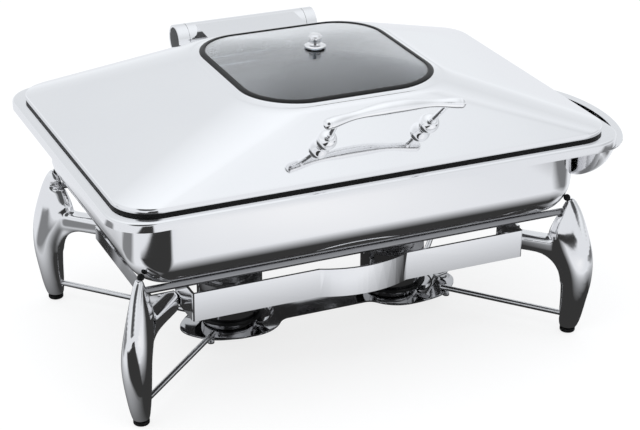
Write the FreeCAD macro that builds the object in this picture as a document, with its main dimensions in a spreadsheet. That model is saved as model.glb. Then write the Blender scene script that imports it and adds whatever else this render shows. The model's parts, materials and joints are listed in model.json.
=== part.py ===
import FreeCAD, Part
import math
import os
import re
import Sketcher
from FreeCAD import Placement, Rotation, Vector

# Rectangular chafing dish in polished steel, in millimetres.
# X runs along the long side, Y from the front to the back, Z up.
# The origin is on the table, under the middle of the four feet.

doc = FreeCAD.newDocument("chafing_dish")
sheet = doc.addObject("Spreadsheet::Sheet", "sizes")
aliases = []


def dimension(alias, value, meaning):
    row = len(aliases) + 1
    sheet.set("A%d" % row, meaning)
    sheet.set("B%d" % row, str(value))
    sheet.setAlias("B%d" % row, alias)
    aliases.append(alias)


# Water pan: rim, deck and well
dimension("rim_length", 600, "rim of the water pan, left to right")
dimension("rim_depth", 420, "rim of the water pan, front to back")
dimension("rim_corner", 45, "corner radius of the rim in plan")
dimension("rim_drop", 10.5, "height of the turned-down edge of the rim")
dimension("rim_bend", 3, "outer bend radius along the top of the rim")
dimension("deck_height", 257.5, "top face of the deck above the table")
dimension("pan_sheet", 1.2, "sheet thickness of the water pan")
dimension("well_length", 536, "outside of the water well, left to right")
dimension("well_depth", 344, "outside of the water well, front to back")
dimension("well_corner", 46, "corner radius of the water well in plan")
dimension("well_bend", 42, "bend radius round the bottom of the well")
dimension("well_bottom", 152, "underside of the water well above the table")
dimension("opening_length", 508, "opening in the deck, left to right")
dimension("opening_depth", 303, "opening in the deck, front to back")
dimension("opening_corner", 28, "corner radius of the opening in the deck")

# Food pan
dimension("food_length", 530, "flange of the food pan, left to right")
dimension("food_depth", 325, "flange of the food pan, front to back")
dimension("food_corner", 36, "corner radius of the food pan flange")
dimension("food_well", 65, "depth of the food pan")
dimension("food_sheet", 0.9, "sheet thickness of the food pan")
dimension("food_play", 4, "gap between food pan wall and deck opening")
dimension("food_bend", 18, "bend radius round the bottom of the food pan")
dimension("seat_gap", 0.2, "gap left where one loose piece rests on another")

# Lid
dimension("lid_inset", 13, "rim showing outside the lid on every side")
dimension("lid_corner", 42, "corner radius of the lid in plan")
dimension("lid_sheet", 1.5, "sheet thickness of the lid")
dimension("seal_width", 6, "width of the lid seal")
dimension("seal_height", 3, "height of the lid seal above the deck")
dimension("band_height", 5, "upright band round the bottom of the lid")
dimension("crown_rise", 85.5, "highest point of the dome above the deck")
dimension("shoulder_length", 256, "where slopes and dome meet, left to right")
dimension("shoulder_depth", 258, "where slopes and dome meet, front to back")
dimension("shoulder_rise", 66.5, "line where slopes and dome meet above the deck")
dimension("shoulder_corner", 62, "plan radius at the top of the slopes")
dimension("window_forward", 17, "window centre in front of the pan centre")
dimension("window_length", 227, "window gasket, left to right")
dimension("window_depth", 234, "window gasket, front to back")
dimension("window_corner", 62, "corner radius of the window gasket")
dimension("gasket_grip", 2, "gasket lip over the lid sheet")
dimension("gasket_face", 7, "visible width of the window gasket")
dimension("gasket_proud", 1.2, "gasket lip thickness over lid and glass")
dimension("glass_grip", 3, "glass edge held inside the gasket")
dimension("glass_thickness", 4, "thickness of the domed glass")

# Steam vent in the middle of the glass
dimension("vent_hole", 12, "hole in the glass for the steam vent")
dimension("vent_flange", 24, "diameter of the vent flange")
dimension("vent_fit", 0.2, "clearance of the vent stem in its hole, each side")
dimension("vent_cap", 15, "diameter of the turning vent cap")
dimension("vent_spigot", 7, "diameter of the spigot that the cap turns on")
dimension("washer_thickness", 1, "rubber washers either side of the glass")

# Lid handle
dimension("post_spacing", 119, "between the two handle posts")
dimension("post_up_slope", 39, "posts above the bottom edge of the front slope, along it")
dimension("post_ball", 22, "largest diameter of a handle post")
dimension("post_reach", 26, "height of a handle post off the slope")
dimension("bar_reach", 66, "centre of the bar ends off the slope")
dimension("bar_length", 150, "between the centres of the rounded bar ends")
dimension("bar_arch", 7, "rise of the middle of the bar up the slope")
dimension("bar_middle", 14, "diameter of the bar in the middle")
dimension("bar_waist", 9.5, "diameter of the bar next to its ends")
dimension("bar_end", 12, "diameter of the rounded bar ends")
dimension("neck_width", 6, "diameter of the necks between posts and bar")

# Lid hinge
dimension("hinge_back", 197.5, "hinge axis behind the pan centre")
dimension("hinge_rise", 36.5, "hinge axis above the deck")
dimension("barrel_width", 38, "outside diameter of the hinge barrel")
dimension("barrel_bore", 30, "bore of the hinge barrel")
dimension("barrel_half", 76, "hinge middle to the end of the turning barrel")
dimension("sleeve_end", 90, "hinge middle to the outer end of a fixed sleeve")
dimension("stop_depth", 10, "overlap of the stop teeth along the axis")
dimension("stop_gap", 0.4, "clearance at the ends of the stop teeth")
dimension("shaft_width", 12, "diameter of the hinge shaft")
dimension("running_fit", 0.08, "radial clearance of turning parts")
dimension("bracket_sheet", 3, "thickness of the hinge brackets")
dimension("bracket_foot_up", 22, "foot of the lid bracket above the bottom edge of the slope")
dimension("bracket_half", 64, "hinge middle to the end of the lid bracket")
dimension("cap_recess", 2.5, "depth of the recess for a hinge end cap")

# Spoon basin on the right-hand side
dimension("basin_forward", 95, "basin centre in front of the pan centre")
dimension("basin_reach", 54, "bowl of the basin out from the pan wall")
dimension("basin_half", 102, "half the width of the bowl, front to back")
dimension("basin_depth", 60, "depth of the bowl")
dimension("basin_lip", 8, "width of the lip round the bowl")
dimension("basin_sheet", 1.2, "sheet thickness of the basin")

# Stand
dimension("foot_side", 265, "foot centres from the middle, left and right")
dimension("foot_front", 160, "foot centres from the middle, front and back")
dimension("pad_width", 18, "diameter of a rubber foot")
dimension("pad_height", 5, "height of a rubber foot")
dimension("tip_ball", 8, "diameter of the rubber bumper on each leg tip")
dimension("arm_low", 98, "underside of a leg arm above the table")
dimension("arm_high", 118, "top of a leg arm above the table")
dimension("arm_width", 20, "width of a leg arm")
dimension("rail_side", 201, "outer face of the turned-back rail ends")
dimension("rail_front", 153, "outer face of the front and rear rails")
dimension("rail_low", 106, "lower edge of the front and rear rails")
dimension("rail_high", 139, "upper edge of the front and rear rails")
dimension("rail_sheet", 3, "thickness of the rail strip")
dimension("rail_bow", 12, "how far the middle of a rail bows out")
dimension("bow_half", 53, "half the length of the bowed stretch")
dimension("arm_tip_back", 97, "where the two faces of an arm end meet, from the middle")
dimension("side_rail_at", 230, "outer face of the side rails")
dimension("side_rail_low", 100, "lower edge of the side rails")
dimension("side_rail_high", 116, "upper edge of the side rails")
dimension("support_width", 8, "diameter of the two rods under the pan")
dimension("support_back", 148, "those rods in front of and behind the middle")
dimension("screw_width", 4, "diameter of the small screws")
dimension("screw_head", 8, "diameter of their heads")
dimension("screw_head_height", 2.4, "height of their heads")
dimension("screw_fit", 0.1, "clearance of a screw in its hole, each side")

# Burner shelf and its brace rods
dimension("shelf_top", 18, "top of the burner shelf above the table")
dimension("shelf_sheet", 2, "thickness of the burner shelf")
dimension("shelf_right", 12, "shelf centre to the right of the middle")
dimension("shelf_forward", 10, "shelf centre in front of the middle")
dimension("burner_side", 105, "burner centres from the middle")
dimension("shelf_lobe", 46, "radius of the shelf round each burner")
dimension("lobe_side", 100, "lobe centres from the shelf centre")
dimension("shelf_waist", 20, "half the depth of the shelf between the burners")
dimension("waist_blend", 16, "radius where the waist runs into a lobe")
dimension("shelf_tip", 177, "ends of the shelf from its centre")
dimension("shelf_nut_side", 148, "brace rod nuts from the shelf centre, left and right")
dimension("shelf_nut_back", 29, "brace rod nuts from the shelf centre, front to back")
dimension("tab_rise", 10, "height of the turned-up tab at the right-hand end")
dimension("tab_width", 21, "width of the top of that tab")
dimension("brace_width", 6.5, "diameter of the brace rods")

# Fuel holders
dimension("cup_width", 74, "outside diameter of a fuel cup")
dimension("cup_foot", 62, "diameter of the foot of a fuel cup")
dimension("cup_tall", 60, "height of a fuel cup")
dimension("cup_step", 13, "height of the tapered foot of a fuel cup")
dimension("cup_sheet", 1, "sheet thickness of a fuel cup")
dimension("ring_width", 83, "outside diameter of the rubber ring on a cup")
dimension("ring_height", 2.6, "height of that ring")
dimension("flame_hole", 48, "hole in the cover of a fuel cup")
dimension("damper_width", 56, "diameter of the swinging damper plate")
dimension("damper_pivot", 31, "damper pivot from the cup centre")
dimension("loop_low", 4, "underside of the carrying loop above the foot of the cup")
dimension("loop_high", 30, "top of the carrying loop above the foot of the cup")
dimension("loop_reach", 17, "reach of the carrying loop from the cup wall")
dimension("loop_width", 10, "width of the carrying loop")
dimension("loop_sheet", 2, "thickness of the carrying loop")
dimension("loop_turn", 40, "angle of the carrying loop from straight right towards the front")

doc.recompute()


def formula(text):
    def bind(word):
        return "sizes." + word.group() if word.group() in aliases else word.group()
    return re.sub(r"[a-z]\w*", bind, str(text))


def size(text):
    return float(sheet.evalExpression(formula(text)))


# Sketching and shaping steps shared by the pieces

def new_body(label, x="0", y="0", z="0"):
    body = doc.addObject("PartDesign::Body", label)
    body.Label = label
    for axis, place in zip("xyz", (x, y, z)):
        if place != "0":
            body.setExpression("Placement.Base." + axis, formula(place))
    return body


def new_sketch(body, plane, name, height="0"):
    sketch = body.newObject("Sketcher::SketchObject", name)
    face = next(f for f in body.Origin.OriginFeatures if f.Role == plane + "_Plane")
    sketch.AttachmentSupport = [(face, "")]
    sketch.MapMode = "FlatFace"
    if height != "0":
        sketch.setExpression("AttachmentOffset.Base.z", formula(height))
    return sketch


def bound(sketch, name, kind, *where, value):
    index = sketch.addConstraint(Sketcher.Constraint(kind, *where, size(value)))
    sketch.renameConstraint(index, name)
    sketch.setExpression("Constraints." + name, formula(value))


def rounded_rectangle(sketch, length, depth, radius, name="outer", middle_y="0"):
    half_x = size(length) / 2
    half_y = size(depth) / 2
    corner = size(radius)
    centre_y = size(middle_y)
    first = sketch.GeometryCount
    inner_x = half_x - corner
    inner_y = half_y - corner
    corners = [(inner_x, inner_y), (-inner_x, inner_y), (-inner_x, -inner_y), (inner_x, -inner_y)]
    for turn, (x, y) in enumerate(corners):
        centre = Vector(x, y + centre_y, 0)
        start = turn * math.pi / 2
        circle = Part.Circle(centre, Vector(0, 0, 1), corner)
        sketch.addGeometry(Part.ArcOfCircle(circle, start, start + math.pi / 2), False)
    for turn in range(4):
        begin = sketch.getPoint(first + turn, 2)
        end = sketch.getPoint(first + (turn + 1) % 4, 1)
        sketch.addGeometry(Part.LineSegment(begin, end), False)
    for turn in range(4):
        line = first + 4 + turn
        sketch.addConstraint(Sketcher.Constraint("Tangent", first + turn, 2, line, 1))
        sketch.addConstraint(Sketcher.Constraint("Tangent", line, 2, first + (turn + 1) % 4, 1))
        kind = "Horizontal" if turn % 2 == 0 else "Vertical"
        sketch.addConstraint(Sketcher.Constraint(kind, line))
    for turn in (1, 2, 3):
        sketch.addConstraint(Sketcher.Constraint("Equal", first, first + turn))
    bound(sketch, name + "_radius", "Radius", first, value=radius)
    bound(sketch, name + "_length", "DistanceX", first + 5, 1, first + 7, 1, value=length)
    bound(sketch, name + "_depth", "DistanceY", first + 6, 1, first + 4, 1, value=depth)
    bound(sketch, name + "_half_length", "DistanceX", -1, 1, first + 7, 1,
          value="(%s) / 2" % length)
    bound(sketch, name + "_half_depth", "DistanceY", -1, 1, first + 4, 1,
          value="(%s) / 2 + %s" % (depth, middle_y))


def pad(body, sketch, length, both=False, reverse=False):
    feature = body.newObject("PartDesign::Pad", sketch.Name + "_pad")
    feature.Profile = sketch
    feature.setExpression("Length", formula(length))
    feature.Midplane = both
    feature.Reversed = reverse
    doc.recompute()
    return feature


def pocket(body, sketch, length, reverse=False):
    before = body.Shape.Volume
    feature = body.newObject("PartDesign::Pocket", sketch.Name + "_pocket")
    feature.Profile = sketch
    feature.setExpression("Length", formula(length))
    feature.Reversed = reverse
    doc.recompute()
    if body.Shape.Volume >= before:
        raise RuntimeError(sketch.Name + " cuts nothing")
    return feature


def round_edges(body, base, radius, chosen):
    names = []
    for index, edge in enumerate(base.Shape.Edges, 1):
        if chosen(edge.BoundBox):
            names.append("Edge%d" % index)
    feature = body.newObject("PartDesign::Fillet", base.Name + "_round")
    feature.Base = (base, names)
    feature.setExpression("Radius", formula(radius))
    doc.recompute()
    return feature


def flat_at(z):
    height = size(z)
    return lambda box: abs(box.ZMin - height) < 0.01 and abs(box.ZMax - height) < 0.01


# Booleans and plain solids

nodes = []


def node(piece, label):
    piece.Label = label
    nodes.append(piece)
    return piece


def cut(label, outside, inside):
    piece = doc.addObject("Part::Cut", label)
    piece.Label = label
    piece.Base = outside
    piece.Tool = inside
    doc.recompute()
    return piece


def fuse(label, first, second):
    piece = doc.addObject("Part::Fuse", label)
    piece.Label = label
    piece.Base = first
    piece.Tool = second
    piece.Refine = True
    doc.recompute()
    return piece


def common(label, first, second):
    piece = doc.addObject("Part::Common", label)
    piece.Label = label
    piece.Base = first
    piece.Tool = second
    doc.recompute()
    return piece


def worked(label, shape):
    piece = doc.addObject("Part::Feature", label)
    piece.Label = label
    piece.Shape = shape
    return piece


# Water pan: pressed steel well under a flat deck with a turned-down rim

def well_block(label, shrink, bottom, top):
    block = new_body(label)
    outline = new_sketch(block, "XY", label + "_outline", bottom)
    rounded_rectangle(outline, "well_length - 2 * " + shrink, "well_depth - 2 * " + shrink,
                      "well_corner - " + shrink)
    raised = pad(block, outline, "%s - (%s)" % (top, bottom))
    round_edges(block, raised, "well_bend - " + shrink, flat_at(bottom))
    return block


def make_water_pan():
    body = well_block("pan_outside", "0 * pan_sheet", "well_bottom", "deck_height - pan_sheet / 2")
    deck = new_sketch(body, "XY", "deck_outside", "deck_height - pan_sheet")
    rounded_rectangle(deck, "rim_length", "rim_depth", "rim_corner")
    pad(body, deck, "pan_sheet")
    skirt = new_sketch(body, "XY", "skirt_ring", "deck_height - rim_drop")
    rounded_rectangle(skirt, "rim_length", "rim_depth", "rim_corner")
    rounded_rectangle(skirt, "rim_length - 2 * pan_sheet", "rim_depth - 2 * pan_sheet",
                      "rim_corner - pan_sheet", "inner")
    rim = pad(body, skirt, "rim_drop - pan_sheet / 2")
    round_edges(body, rim, "rim_bend", flat_at("deck_height"))
    opening = new_sketch(body, "XY", "deck_opening", "deck_height")
    rounded_rectangle(opening, "opening_length", "opening_depth", "opening_corner")
    pocket(body, opening, "2 * pan_sheet")
    inside = well_block("pan_inside", "pan_sheet", "well_bottom + pan_sheet",
                        "deck_height - pan_sheet")
    return cut("pan_blank", body, inside)


def make_pan_shell(blank, rivet_holes):
    shape = blank.Shape
    for hole in rivet_holes:
        shape = shape.cut(hole)
    node(worked("water_pan", shape), "water_pan")


# Food pan: loose insert that hangs by its flange from the edge of the deck opening

FLANGE_LOW = "deck_height + seat_gap"
FOOD_LOW = "deck_height + seat_gap - food_well"


def food_block(label, shrink, bottom, top):
    block = new_body(label)
    outline = new_sketch(block, "XY", label + "_outline", bottom)
    rounded_rectangle(outline,
                      "opening_length - 2 * food_play - 2 * " + shrink,
                      "opening_depth - 2 * food_play - 2 * " + shrink,
                      "opening_corner - " + shrink)
    raised = pad(block, outline, "%s - (%s)" % (top, bottom))
    round_edges(block, raised, "food_bend - " + shrink, flat_at(bottom))
    return block


def make_food_pan():
    outside = food_block("food_outside", "0 * food_sheet", FOOD_LOW,
                         FLANGE_LOW + " + food_sheet / 2")
    flange = new_sketch(outside, "XY", "food_flange", FLANGE_LOW)
    rounded_rectangle(flange, "food_length", "food_depth", "food_corner")
    pad(outside, flange, "food_sheet")
    inside = food_block("food_inside", "food_sheet", FOOD_LOW + " + food_sheet",
                        FLANGE_LOW + " + 2 * food_sheet")
    node(cut("food_pan", outside, inside), "food_pan")


# Lid: four sheet slopes that run up into a domed middle with the window

LID_LENGTH = "(rim_length - 2 * lid_inset)"
LID_DEPTH = "(rim_depth - 2 * lid_inset)"
LID_LOW = "(deck_height + seal_height + seat_gap)"
CROWN_TOP = "(deck_height + crown_rise)"
SHOULDER_TOP = "(deck_height + shoulder_rise)"
HINGE_AT = "(deck_height + hinge_rise)"
BAND_TOP = "(deck_height + seal_height + seat_gap + band_height)"

# share of the shoulder outline, and share of the dome's rise that is lost out there
DOME_RINGS = ((1, 1), (0.8, 0.64), (0.6, 0.36), (0.4, 0.16), (0.2, 0.04), (0.09, 0))


def loose_outline(label, height, length, depth, radius, middle_y="0"):
    outline = doc.addObject("Sketcher::SketchObject", label)
    outline.setExpression("Placement.Base.z", formula(height))
    rounded_rectangle(outline, length, depth, radius, "outer", middle_y)
    return outline


def upright_block(label, low, high, length, depth, radius, middle_y="0"):
    block = new_body(label)
    outline = new_sketch(block, "XY", label + "_outline", low)
    rounded_rectangle(outline, length, depth, radius, "outer", middle_y)
    pad(block, outline, "%s - (%s)" % (high, low))
    return block


def smooth_loft(label, rings, ruled):
    loft = doc.addObject("Part::Loft", label)
    loft.Sections = rings
    loft.Solid = True
    loft.Ruled = ruled
    doc.recompute()
    return loft


def dome(label, drop, inset="0"):
    """Pillow on the shoulder outline: flat in the middle, falling faster and faster outwards."""
    rings = []
    for number, (share, fall) in enumerate(DOME_RINGS):
        rings.append(loose_outline(
            "%s_ring_%d" % (label, number),
            CROWN_TOP + " - (crown_rise - shoulder_rise) * %g - (%s)" % (fall, drop),
            "(shoulder_length - 2 * (%s)) * %g" % (inset, share),
            "(shoulder_depth - 2 * (%s)) * %g" % (inset, share),
            "(shoulder_corner - (%s)) * %g" % (inset, share), "-window_forward"))
    return smooth_loft(label + "_pillow", rings, False)


def deep_dome(label, drop):
    """The same pillow on a block, for layers that reach below the shoulder."""
    block = upright_block(label + "_block", SHOULDER_TOP + " - 40", SHOULDER_TOP + " - (%s)" % drop,
                          "shoulder_length", "shoulder_depth", "shoulder_corner", "-window_forward")
    return fuse(label, dome(label, drop), block)


def lid_block(label, inset, drop, bottom, top_inset, top_drop):
    across = "%s - 2 * (%s)" % (LID_LENGTH, inset)
    along = "%s - 2 * (%s)" % (LID_DEPTH, inset)
    corner = "lid_corner - (%s)" % inset
    low = loose_outline(label + "_edge", bottom, across, along, corner)
    band = loose_outline(label + "_band", "%s - (%s)" % (BAND_TOP, drop), across, along, corner)
    high = loose_outline(
        label + "_shoulder", SHOULDER_TOP + " - (%s)" % top_drop,
        "shoulder_length - 2 * (%s)" % top_inset, "shoulder_depth - 2 * (%s)" % top_inset,
        "shoulder_corner - (%s)" % top_inset, "-window_forward")
    slopes = smooth_loft(label + "_slopes", [low, band, high], True)
    return fuse(label, slopes, dome(label + "_dome", top_drop, top_inset))


INNER_DROP = "0.6 * lid_sheet"
INNER_TOP = "lid_sheet / 3"


def make_lid():
    outside = lid_block("lid_outside", "0", "0", LID_LOW, "0", "0")
    inside = lid_block("lid_inside", "lid_sheet", INNER_DROP, LID_LOW + " - 1",
                       INNER_TOP, "lid_sheet")
    hollow = cut("lid_hollow", outside, inside)
    hole = upright_block("window_hole", SHOULDER_TOP + " - 30", CROWN_TOP + " + 10",
                         "window_length - 2 * gasket_grip", "window_depth - 2 * gasket_grip",
                         "window_corner - gasket_grip", "-window_forward")
    return cut("lid_with_window", hollow, hole)


def slope_frame(front, inside=False):
    """Foot point, upward direction along the slope and outward normal, in the YZ plane."""
    inset = size("lid_sheet") if inside else 0
    top_inset = size(INNER_TOP) if inside else 0
    half = size(LID_DEPTH) / 2 - inset
    top = size("shoulder_depth") / 2 - top_inset
    forward = size("window_forward")
    low = size(BAND_TOP) - (size(INNER_DROP) if inside else 0)
    high = size(SHOULDER_TOP) - inset
    if front:
        foot = Vector(0, -half, low)
        head = Vector(0, -forward - top, high)
    else:
        foot = Vector(0, half, low)
        head = Vector(0, top - forward, high)
    along = (head - foot).normalize()
    normal = Vector(0, -along.z, along.y) if front else Vector(0, along.z, -along.y)
    return foot, along, normal


def screw_shape(point, into, length):
    """Round-headed screw: its head lies outside point, its shank runs along into."""
    head = Part.makeCylinder(size("screw_head") / 2, size("screw_head_height"), point, -into)
    crown = head.makeFillet(size("screw_head_height") * 0.6, [head.Edges[0]])
    if not crown.isValid() or crown.Volume > head.Volume:
        crown = head
    shank = Part.makeCylinder(size("screw_width") / 2, length, point, into)
    return crown.fuse(shank).removeSplitter()


def screw_hole(point, into, length):
    wide = size("screw_width / 2 + screw_fit")
    start = point - into * 1
    return Part.makeCylinder(wide, length + 1.5, start, into)


def inner_slope_point(front, x, up):
    """Point on the underside of a slope, straight in from the outside face."""
    foot, along, normal = slope_frame(front)
    inner_foot, inner_along, inner_normal = slope_frame(front, True)
    outside = foot + along * up
    thick = (outside - inner_foot).dot(inner_normal) / normal.dot(inner_normal)
    return Vector(x, 0, 0) + outside - normal * thick


def handle_screw_seats():
    foot, along, normal = slope_frame(True)
    seats = []
    for side in (-1, 1):
        x = side * size("post_spacing") / 2
        seats.append((inner_slope_point(True, x, size("post_up_slope")), normal))
    return seats


def bracket_screw_seats():
    foot, along, normal = slope_frame(False)
    seats = []
    for x in (-48, -16, 16, 48):
        seats.append((inner_slope_point(False, x, size("bracket_foot_up + 9")), normal))
    return seats


def make_lid_shell(blank):
    shape = blank.Shape
    for point, into in handle_screw_seats() + bracket_screw_seats():
        shape = shape.cut(screw_hole(point - into * 3, into, 8))
    node(worked("lid_shell", shape), "lid_shell")


# Window: domed glass in a black rubber gasket that grips glass and lid sheet

def make_window(blank):
    glass_inset = "(gasket_face - glass_grip)"
    plate = upright_block("glass_outline", SHOULDER_TOP + " - 30", CROWN_TOP + " + 10",
                          "window_length - 2 * " + glass_inset,
                          "window_depth - 2 * " + glass_inset,
                          "window_corner - " + glass_inset, "-window_forward")
    layer = cut("glass_layer", deep_dome("glass_top", "0"),
                deep_dome("glass_under", "glass_thickness"))
    pane = common("glass_pane", plate, layer)
    hole = Part.makeCylinder(size("vent_hole") / 2, 40,
                             Vector(0, -size("window_forward"), size(CROWN_TOP) - 20))
    glass = worked("window_glass", pane.Shape.cut(hole))
    node(glass, "window_glass")
    outer = upright_block("gasket_outside", SHOULDER_TOP + " - 30", CROWN_TOP + " + 10",
                          "window_length", "window_depth", "window_corner", "-window_forward")
    inner = upright_block("gasket_inside", SHOULDER_TOP + " - 31", CROWN_TOP + " + 11",
                          "window_length - 2 * gasket_face", "window_depth - 2 * gasket_face",
                          "window_corner - gasket_face", "-window_forward")
    ring = cut("gasket_ring", outer, inner)
    thick = cut("gasket_layer", deep_dome("gasket_top", "-gasket_proud"),
                deep_dome("gasket_under", "glass_thickness + gasket_proud"))
    band = common("gasket_band", ring, thick)
    slotted = cut("gasket_slotted", band, blank)
    node(cut("window_gasket", slotted, glass), "window_gasket")


def make_lid_seal():
    seal = new_body("lid_seal")
    ring = new_sketch(seal, "XY", "seal_ring", "deck_height")
    rounded_rectangle(ring, LID_LENGTH + " - 1", LID_DEPTH + " - 1", "lid_corner - 0.5")
    rounded_rectangle(ring, LID_LENGTH + " - 1 - 2 * seal_width",
                      LID_DEPTH + " - 1 - 2 * seal_width", "lid_corner - 0.5 - seal_width", "inner")
    pad(seal, ring, "seal_height")
    node(seal, "lid_seal")


# Steam vent: screwed through the glass between two rubber washers, with a turning cap

def turned(label, outline, x="0", y="0", z="0"):
    """Body of revolution about its own Z axis, from radius and height pairs."""
    body = new_body(label, x, y, z)
    half = new_sketch(body, "XZ", label + "_half")
    corners = [Vector(size(radius), size(height), 0) for radius, height in outline]
    count = len(corners)
    for index in range(count):
        half.addGeometry(Part.LineSegment(corners[index], corners[(index + 1) % count]), False)
    for index in range(count):
        half.addConstraint(Sketcher.Constraint("Coincident", index, 2, (index + 1) % count, 1))
    for index, (radius, height) in enumerate(outline):
        if radius == "0":
            half.addConstraint(Sketcher.Constraint("PointOnObject", index, 1, -2))
        else:
            bound(half, "radius_%d" % index, "DistanceX", -1, 1, index, 1, value=radius)
        if height == "0":
            half.addConstraint(Sketcher.Constraint("PointOnObject", index, 1, -1))
        else:
            bound(half, "height_%d" % index, "DistanceY", -1, 1, index, 1, value=height)
    spin = body.newObject("PartDesign::Revolution", label + "_turn")
    spin.Profile = half
    spin.ReferenceAxis = (half, ["V_Axis"])
    spin.Angle = 360
    doc.recompute()
    return body


def make_vent():
    base = {"y": "-window_forward", "z": CROWN_TOP}
    stem = "(vent_hole / 2 - vent_fit)"
    node(turned("vent_body", [
        ("0", "-14"), (stem, "-14"), (stem, "washer_thickness"),
        ("vent_flange / 2", "washer_thickness"), ("vent_flange / 2", "washer_thickness + 1.6"),
        ("vent_flange / 2 - 2.5", "washer_thickness + 3"), ("7", "washer_thickness + 3"),
        ("6.4", "washer_thickness + 6"), ("vent_spigot / 2", "washer_thickness + 6"),
        ("vent_spigot / 2", "washer_thickness + 11"), ("0", "washer_thickness + 11")], **base),
        "vent_body")
    cap_low = "(washer_thickness + 6 + seat_gap)"
    bore = "(vent_spigot / 2 + running_fit)"
    cap = turned("vent_cap", [
        (bore, cap_low), ("vent_cap / 2 - 0.6", cap_low), ("vent_cap / 2", cap_low + " + 1"),
        ("vent_cap / 2", cap_low + " + 6"), ("vent_cap / 2 - 2", cap_low + " + 8.4"),
        ("0", cap_low + " + 9.2"), ("0", cap_low + " + 6"), (bore, cap_low + " + 6")], **base)
    port = new_sketch(cap, "YZ", "vent_port")
    port.addGeometry(Part.Circle(Vector(0, size(cap_low) + 3, 0), Vector(0, 0, 1), 1.2), False)
    port.addConstraint(Sketcher.Constraint("PointOnObject", 0, 3, -2))
    bound(port, "port_height", "DistanceY", -1, 1, 0, 3, value=cap_low + " + 3")
    bound(port, "port_radius", "Radius", 0, value="vent_cap / 12")
    pocket(cap, port, "vent_cap", True)
    node(cap, "vent_cap")
    hole = size("vent_hole") / 2
    top = Vector(0, -size("window_forward"), size(CROWN_TOP))
    low = top - Vector(0, 0, size("glass_thickness"))
    thick = size("washer_thickness")
    rings = []
    for place in (top, low - Vector(0, 0, thick)):
        ring = Part.makeCylinder(size("vent_flange") / 2 - 1, thick, place)
        rings.append(ring.cut(Part.makeCylinder(hole, thick, place)))
    node(worked("vent_washers", Part.makeCompound(rings)), "vent_washers")
    nut = Part.makeCylinder(9.5, 5, low - Vector(0, 0, thick + 5))
    flats = Part.makeBox(17, 24, 5, low - Vector(8.5, 12, thick + 5))
    for angle in (0, 60, 120):
        turn = flats.copy()
        turn.rotate(top, Vector(0, 0, 1), angle)
        nut = nut.common(turn)
    nut = nut.cut(Part.makeCylinder(size(stem), 5, low - Vector(0, 0, thick + 5)))
    node(worked("vent_nut", nut), "vent_nut")


# Handle: cast bar with rounded ends on two necks and two ball-shaped posts

def on_front_slope(x, up, out):
    foot, along, normal = slope_frame(True)
    return Vector(x, 0, 0) + foot + along * up + normal * out


def ring_section(point, direction, width):
    return Part.Wire([Part.Edge(Part.Circle(point, direction, width / 2))])


def make_handle():
    foot, along, normal = slope_frame(True)
    up = size("post_up_slope")
    reach = size("post_reach")
    ball = size("post_ball") / 2
    posts = {}
    for side, name in ((-1, "left"), (1, "right")):
        x = side * size("post_spacing") / 2
        stations = [(0, 0.62), (0.1, 0.66), (0.32, 0.92), (0.52, 1.0), (0.74, 0.86), (0.92, 0.46)]
        curve = Part.BSplineCurve()
        curve.interpolate([Vector(ball * share, 0, reach * level) for level, share in stations])
        outline = Part.Wire([
            Part.makeLine(Vector(0, 0, 0), Vector(ball * stations[0][1], 0, 0)), curve.toShape(),
            Part.makeLine(Vector(ball * stations[-1][1], 0, reach * stations[-1][0]),
                          Vector(0, 0, reach * stations[-1][0])),
            Part.makeLine(Vector(0, 0, reach * stations[-1][0]), Vector(0, 0, 0))])
        post = Part.Face(outline).revolve(Vector(0, 0, 0), Vector(0, 0, 1), 360)
        post = Part.Solid(post.Shells[0]) if post.ShapeType != "Solid" else post
        turn = Placement(on_front_slope(x, up, 0), Rotation(Vector(0, 0, 1), normal))
        post = post.transformed(turn.toMatrix())
        seat = inner_slope_point(True, x, up)
        post = post.cut(screw_hole(seat, normal, 14))
        posts[name] = post
        node(worked("handle_post_" + name, post), "handle_post_" + name)
    # bar: sections along a shallow arch, thick in the middle, waisted, rounded at the ends
    half = size("bar_length") / 2
    arch = size("bar_arch")
    out = size("bar_reach")
    middle = size("bar_middle")
    waist = size("bar_waist")
    bulb = size("bar_end")
    shares = [(-1, bulb * 0.96), (-0.9, bulb), (-0.68, waist), (-0.35, (middle + waist) / 2),
              (0, middle), (0.35, (middle + waist) / 2), (0.68, waist), (0.9, bulb), (1, bulb * 0.96)]
    sections = []
    for share, width in shares:
        lift = up + arch * (1 - share * share)
        point = on_front_slope(share * half, lift, out)
        slope = Vector(half, 0, 0) - along * 2 * arch * share
        sections.append(ring_section(point, slope, width))
    bar = Part.makeLoft(sections, True, False)
    for side in (-1, 1):
        end = on_front_slope(side * half, up, out)
        bar = bar.fuse(Part.makeSphere(bulb * 0.5, end))
    # necks: curved from the top of each post to the bar
    for side in (-1, 1):
        x = side * size("post_spacing") / 2
        start = on_front_slope(x, up, reach * 0.8)
        bend = on_front_slope(x + side * 1.5, up + 1, reach + 12)
        finish = on_front_slope(x + side * 5, up + arch * 0.4, out)
        path = Part.Wire([Part.Arc(start, bend, finish).toShape()])
        tangent = path.Edges[0].tangentAt(path.Edges[0].FirstParameter)
        neck = Part.Wire([Part.Edge(Part.Circle(start, tangent, size("neck_width") / 2))])
        bar = bar.fuse(path.makePipeShell([neck], True, False))
    bar = bar.cut(posts["left"]).cut(posts["right"])
    solids = sorted(bar.Solids, key=lambda solid: solid.Volume)
    node(worked("handle_bar", solids[-1]), "handle_bar")
    screws = []
    for point, into in handle_screw_seats():
        screws.append(screw_shape(point, into, 12))
    node(worked("handle_screws", Part.makeCompound(screws)), "handle_screws")


# Hinge: barrel welded to the lid bracket, turning on a shaft between two fixed sleeves

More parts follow.
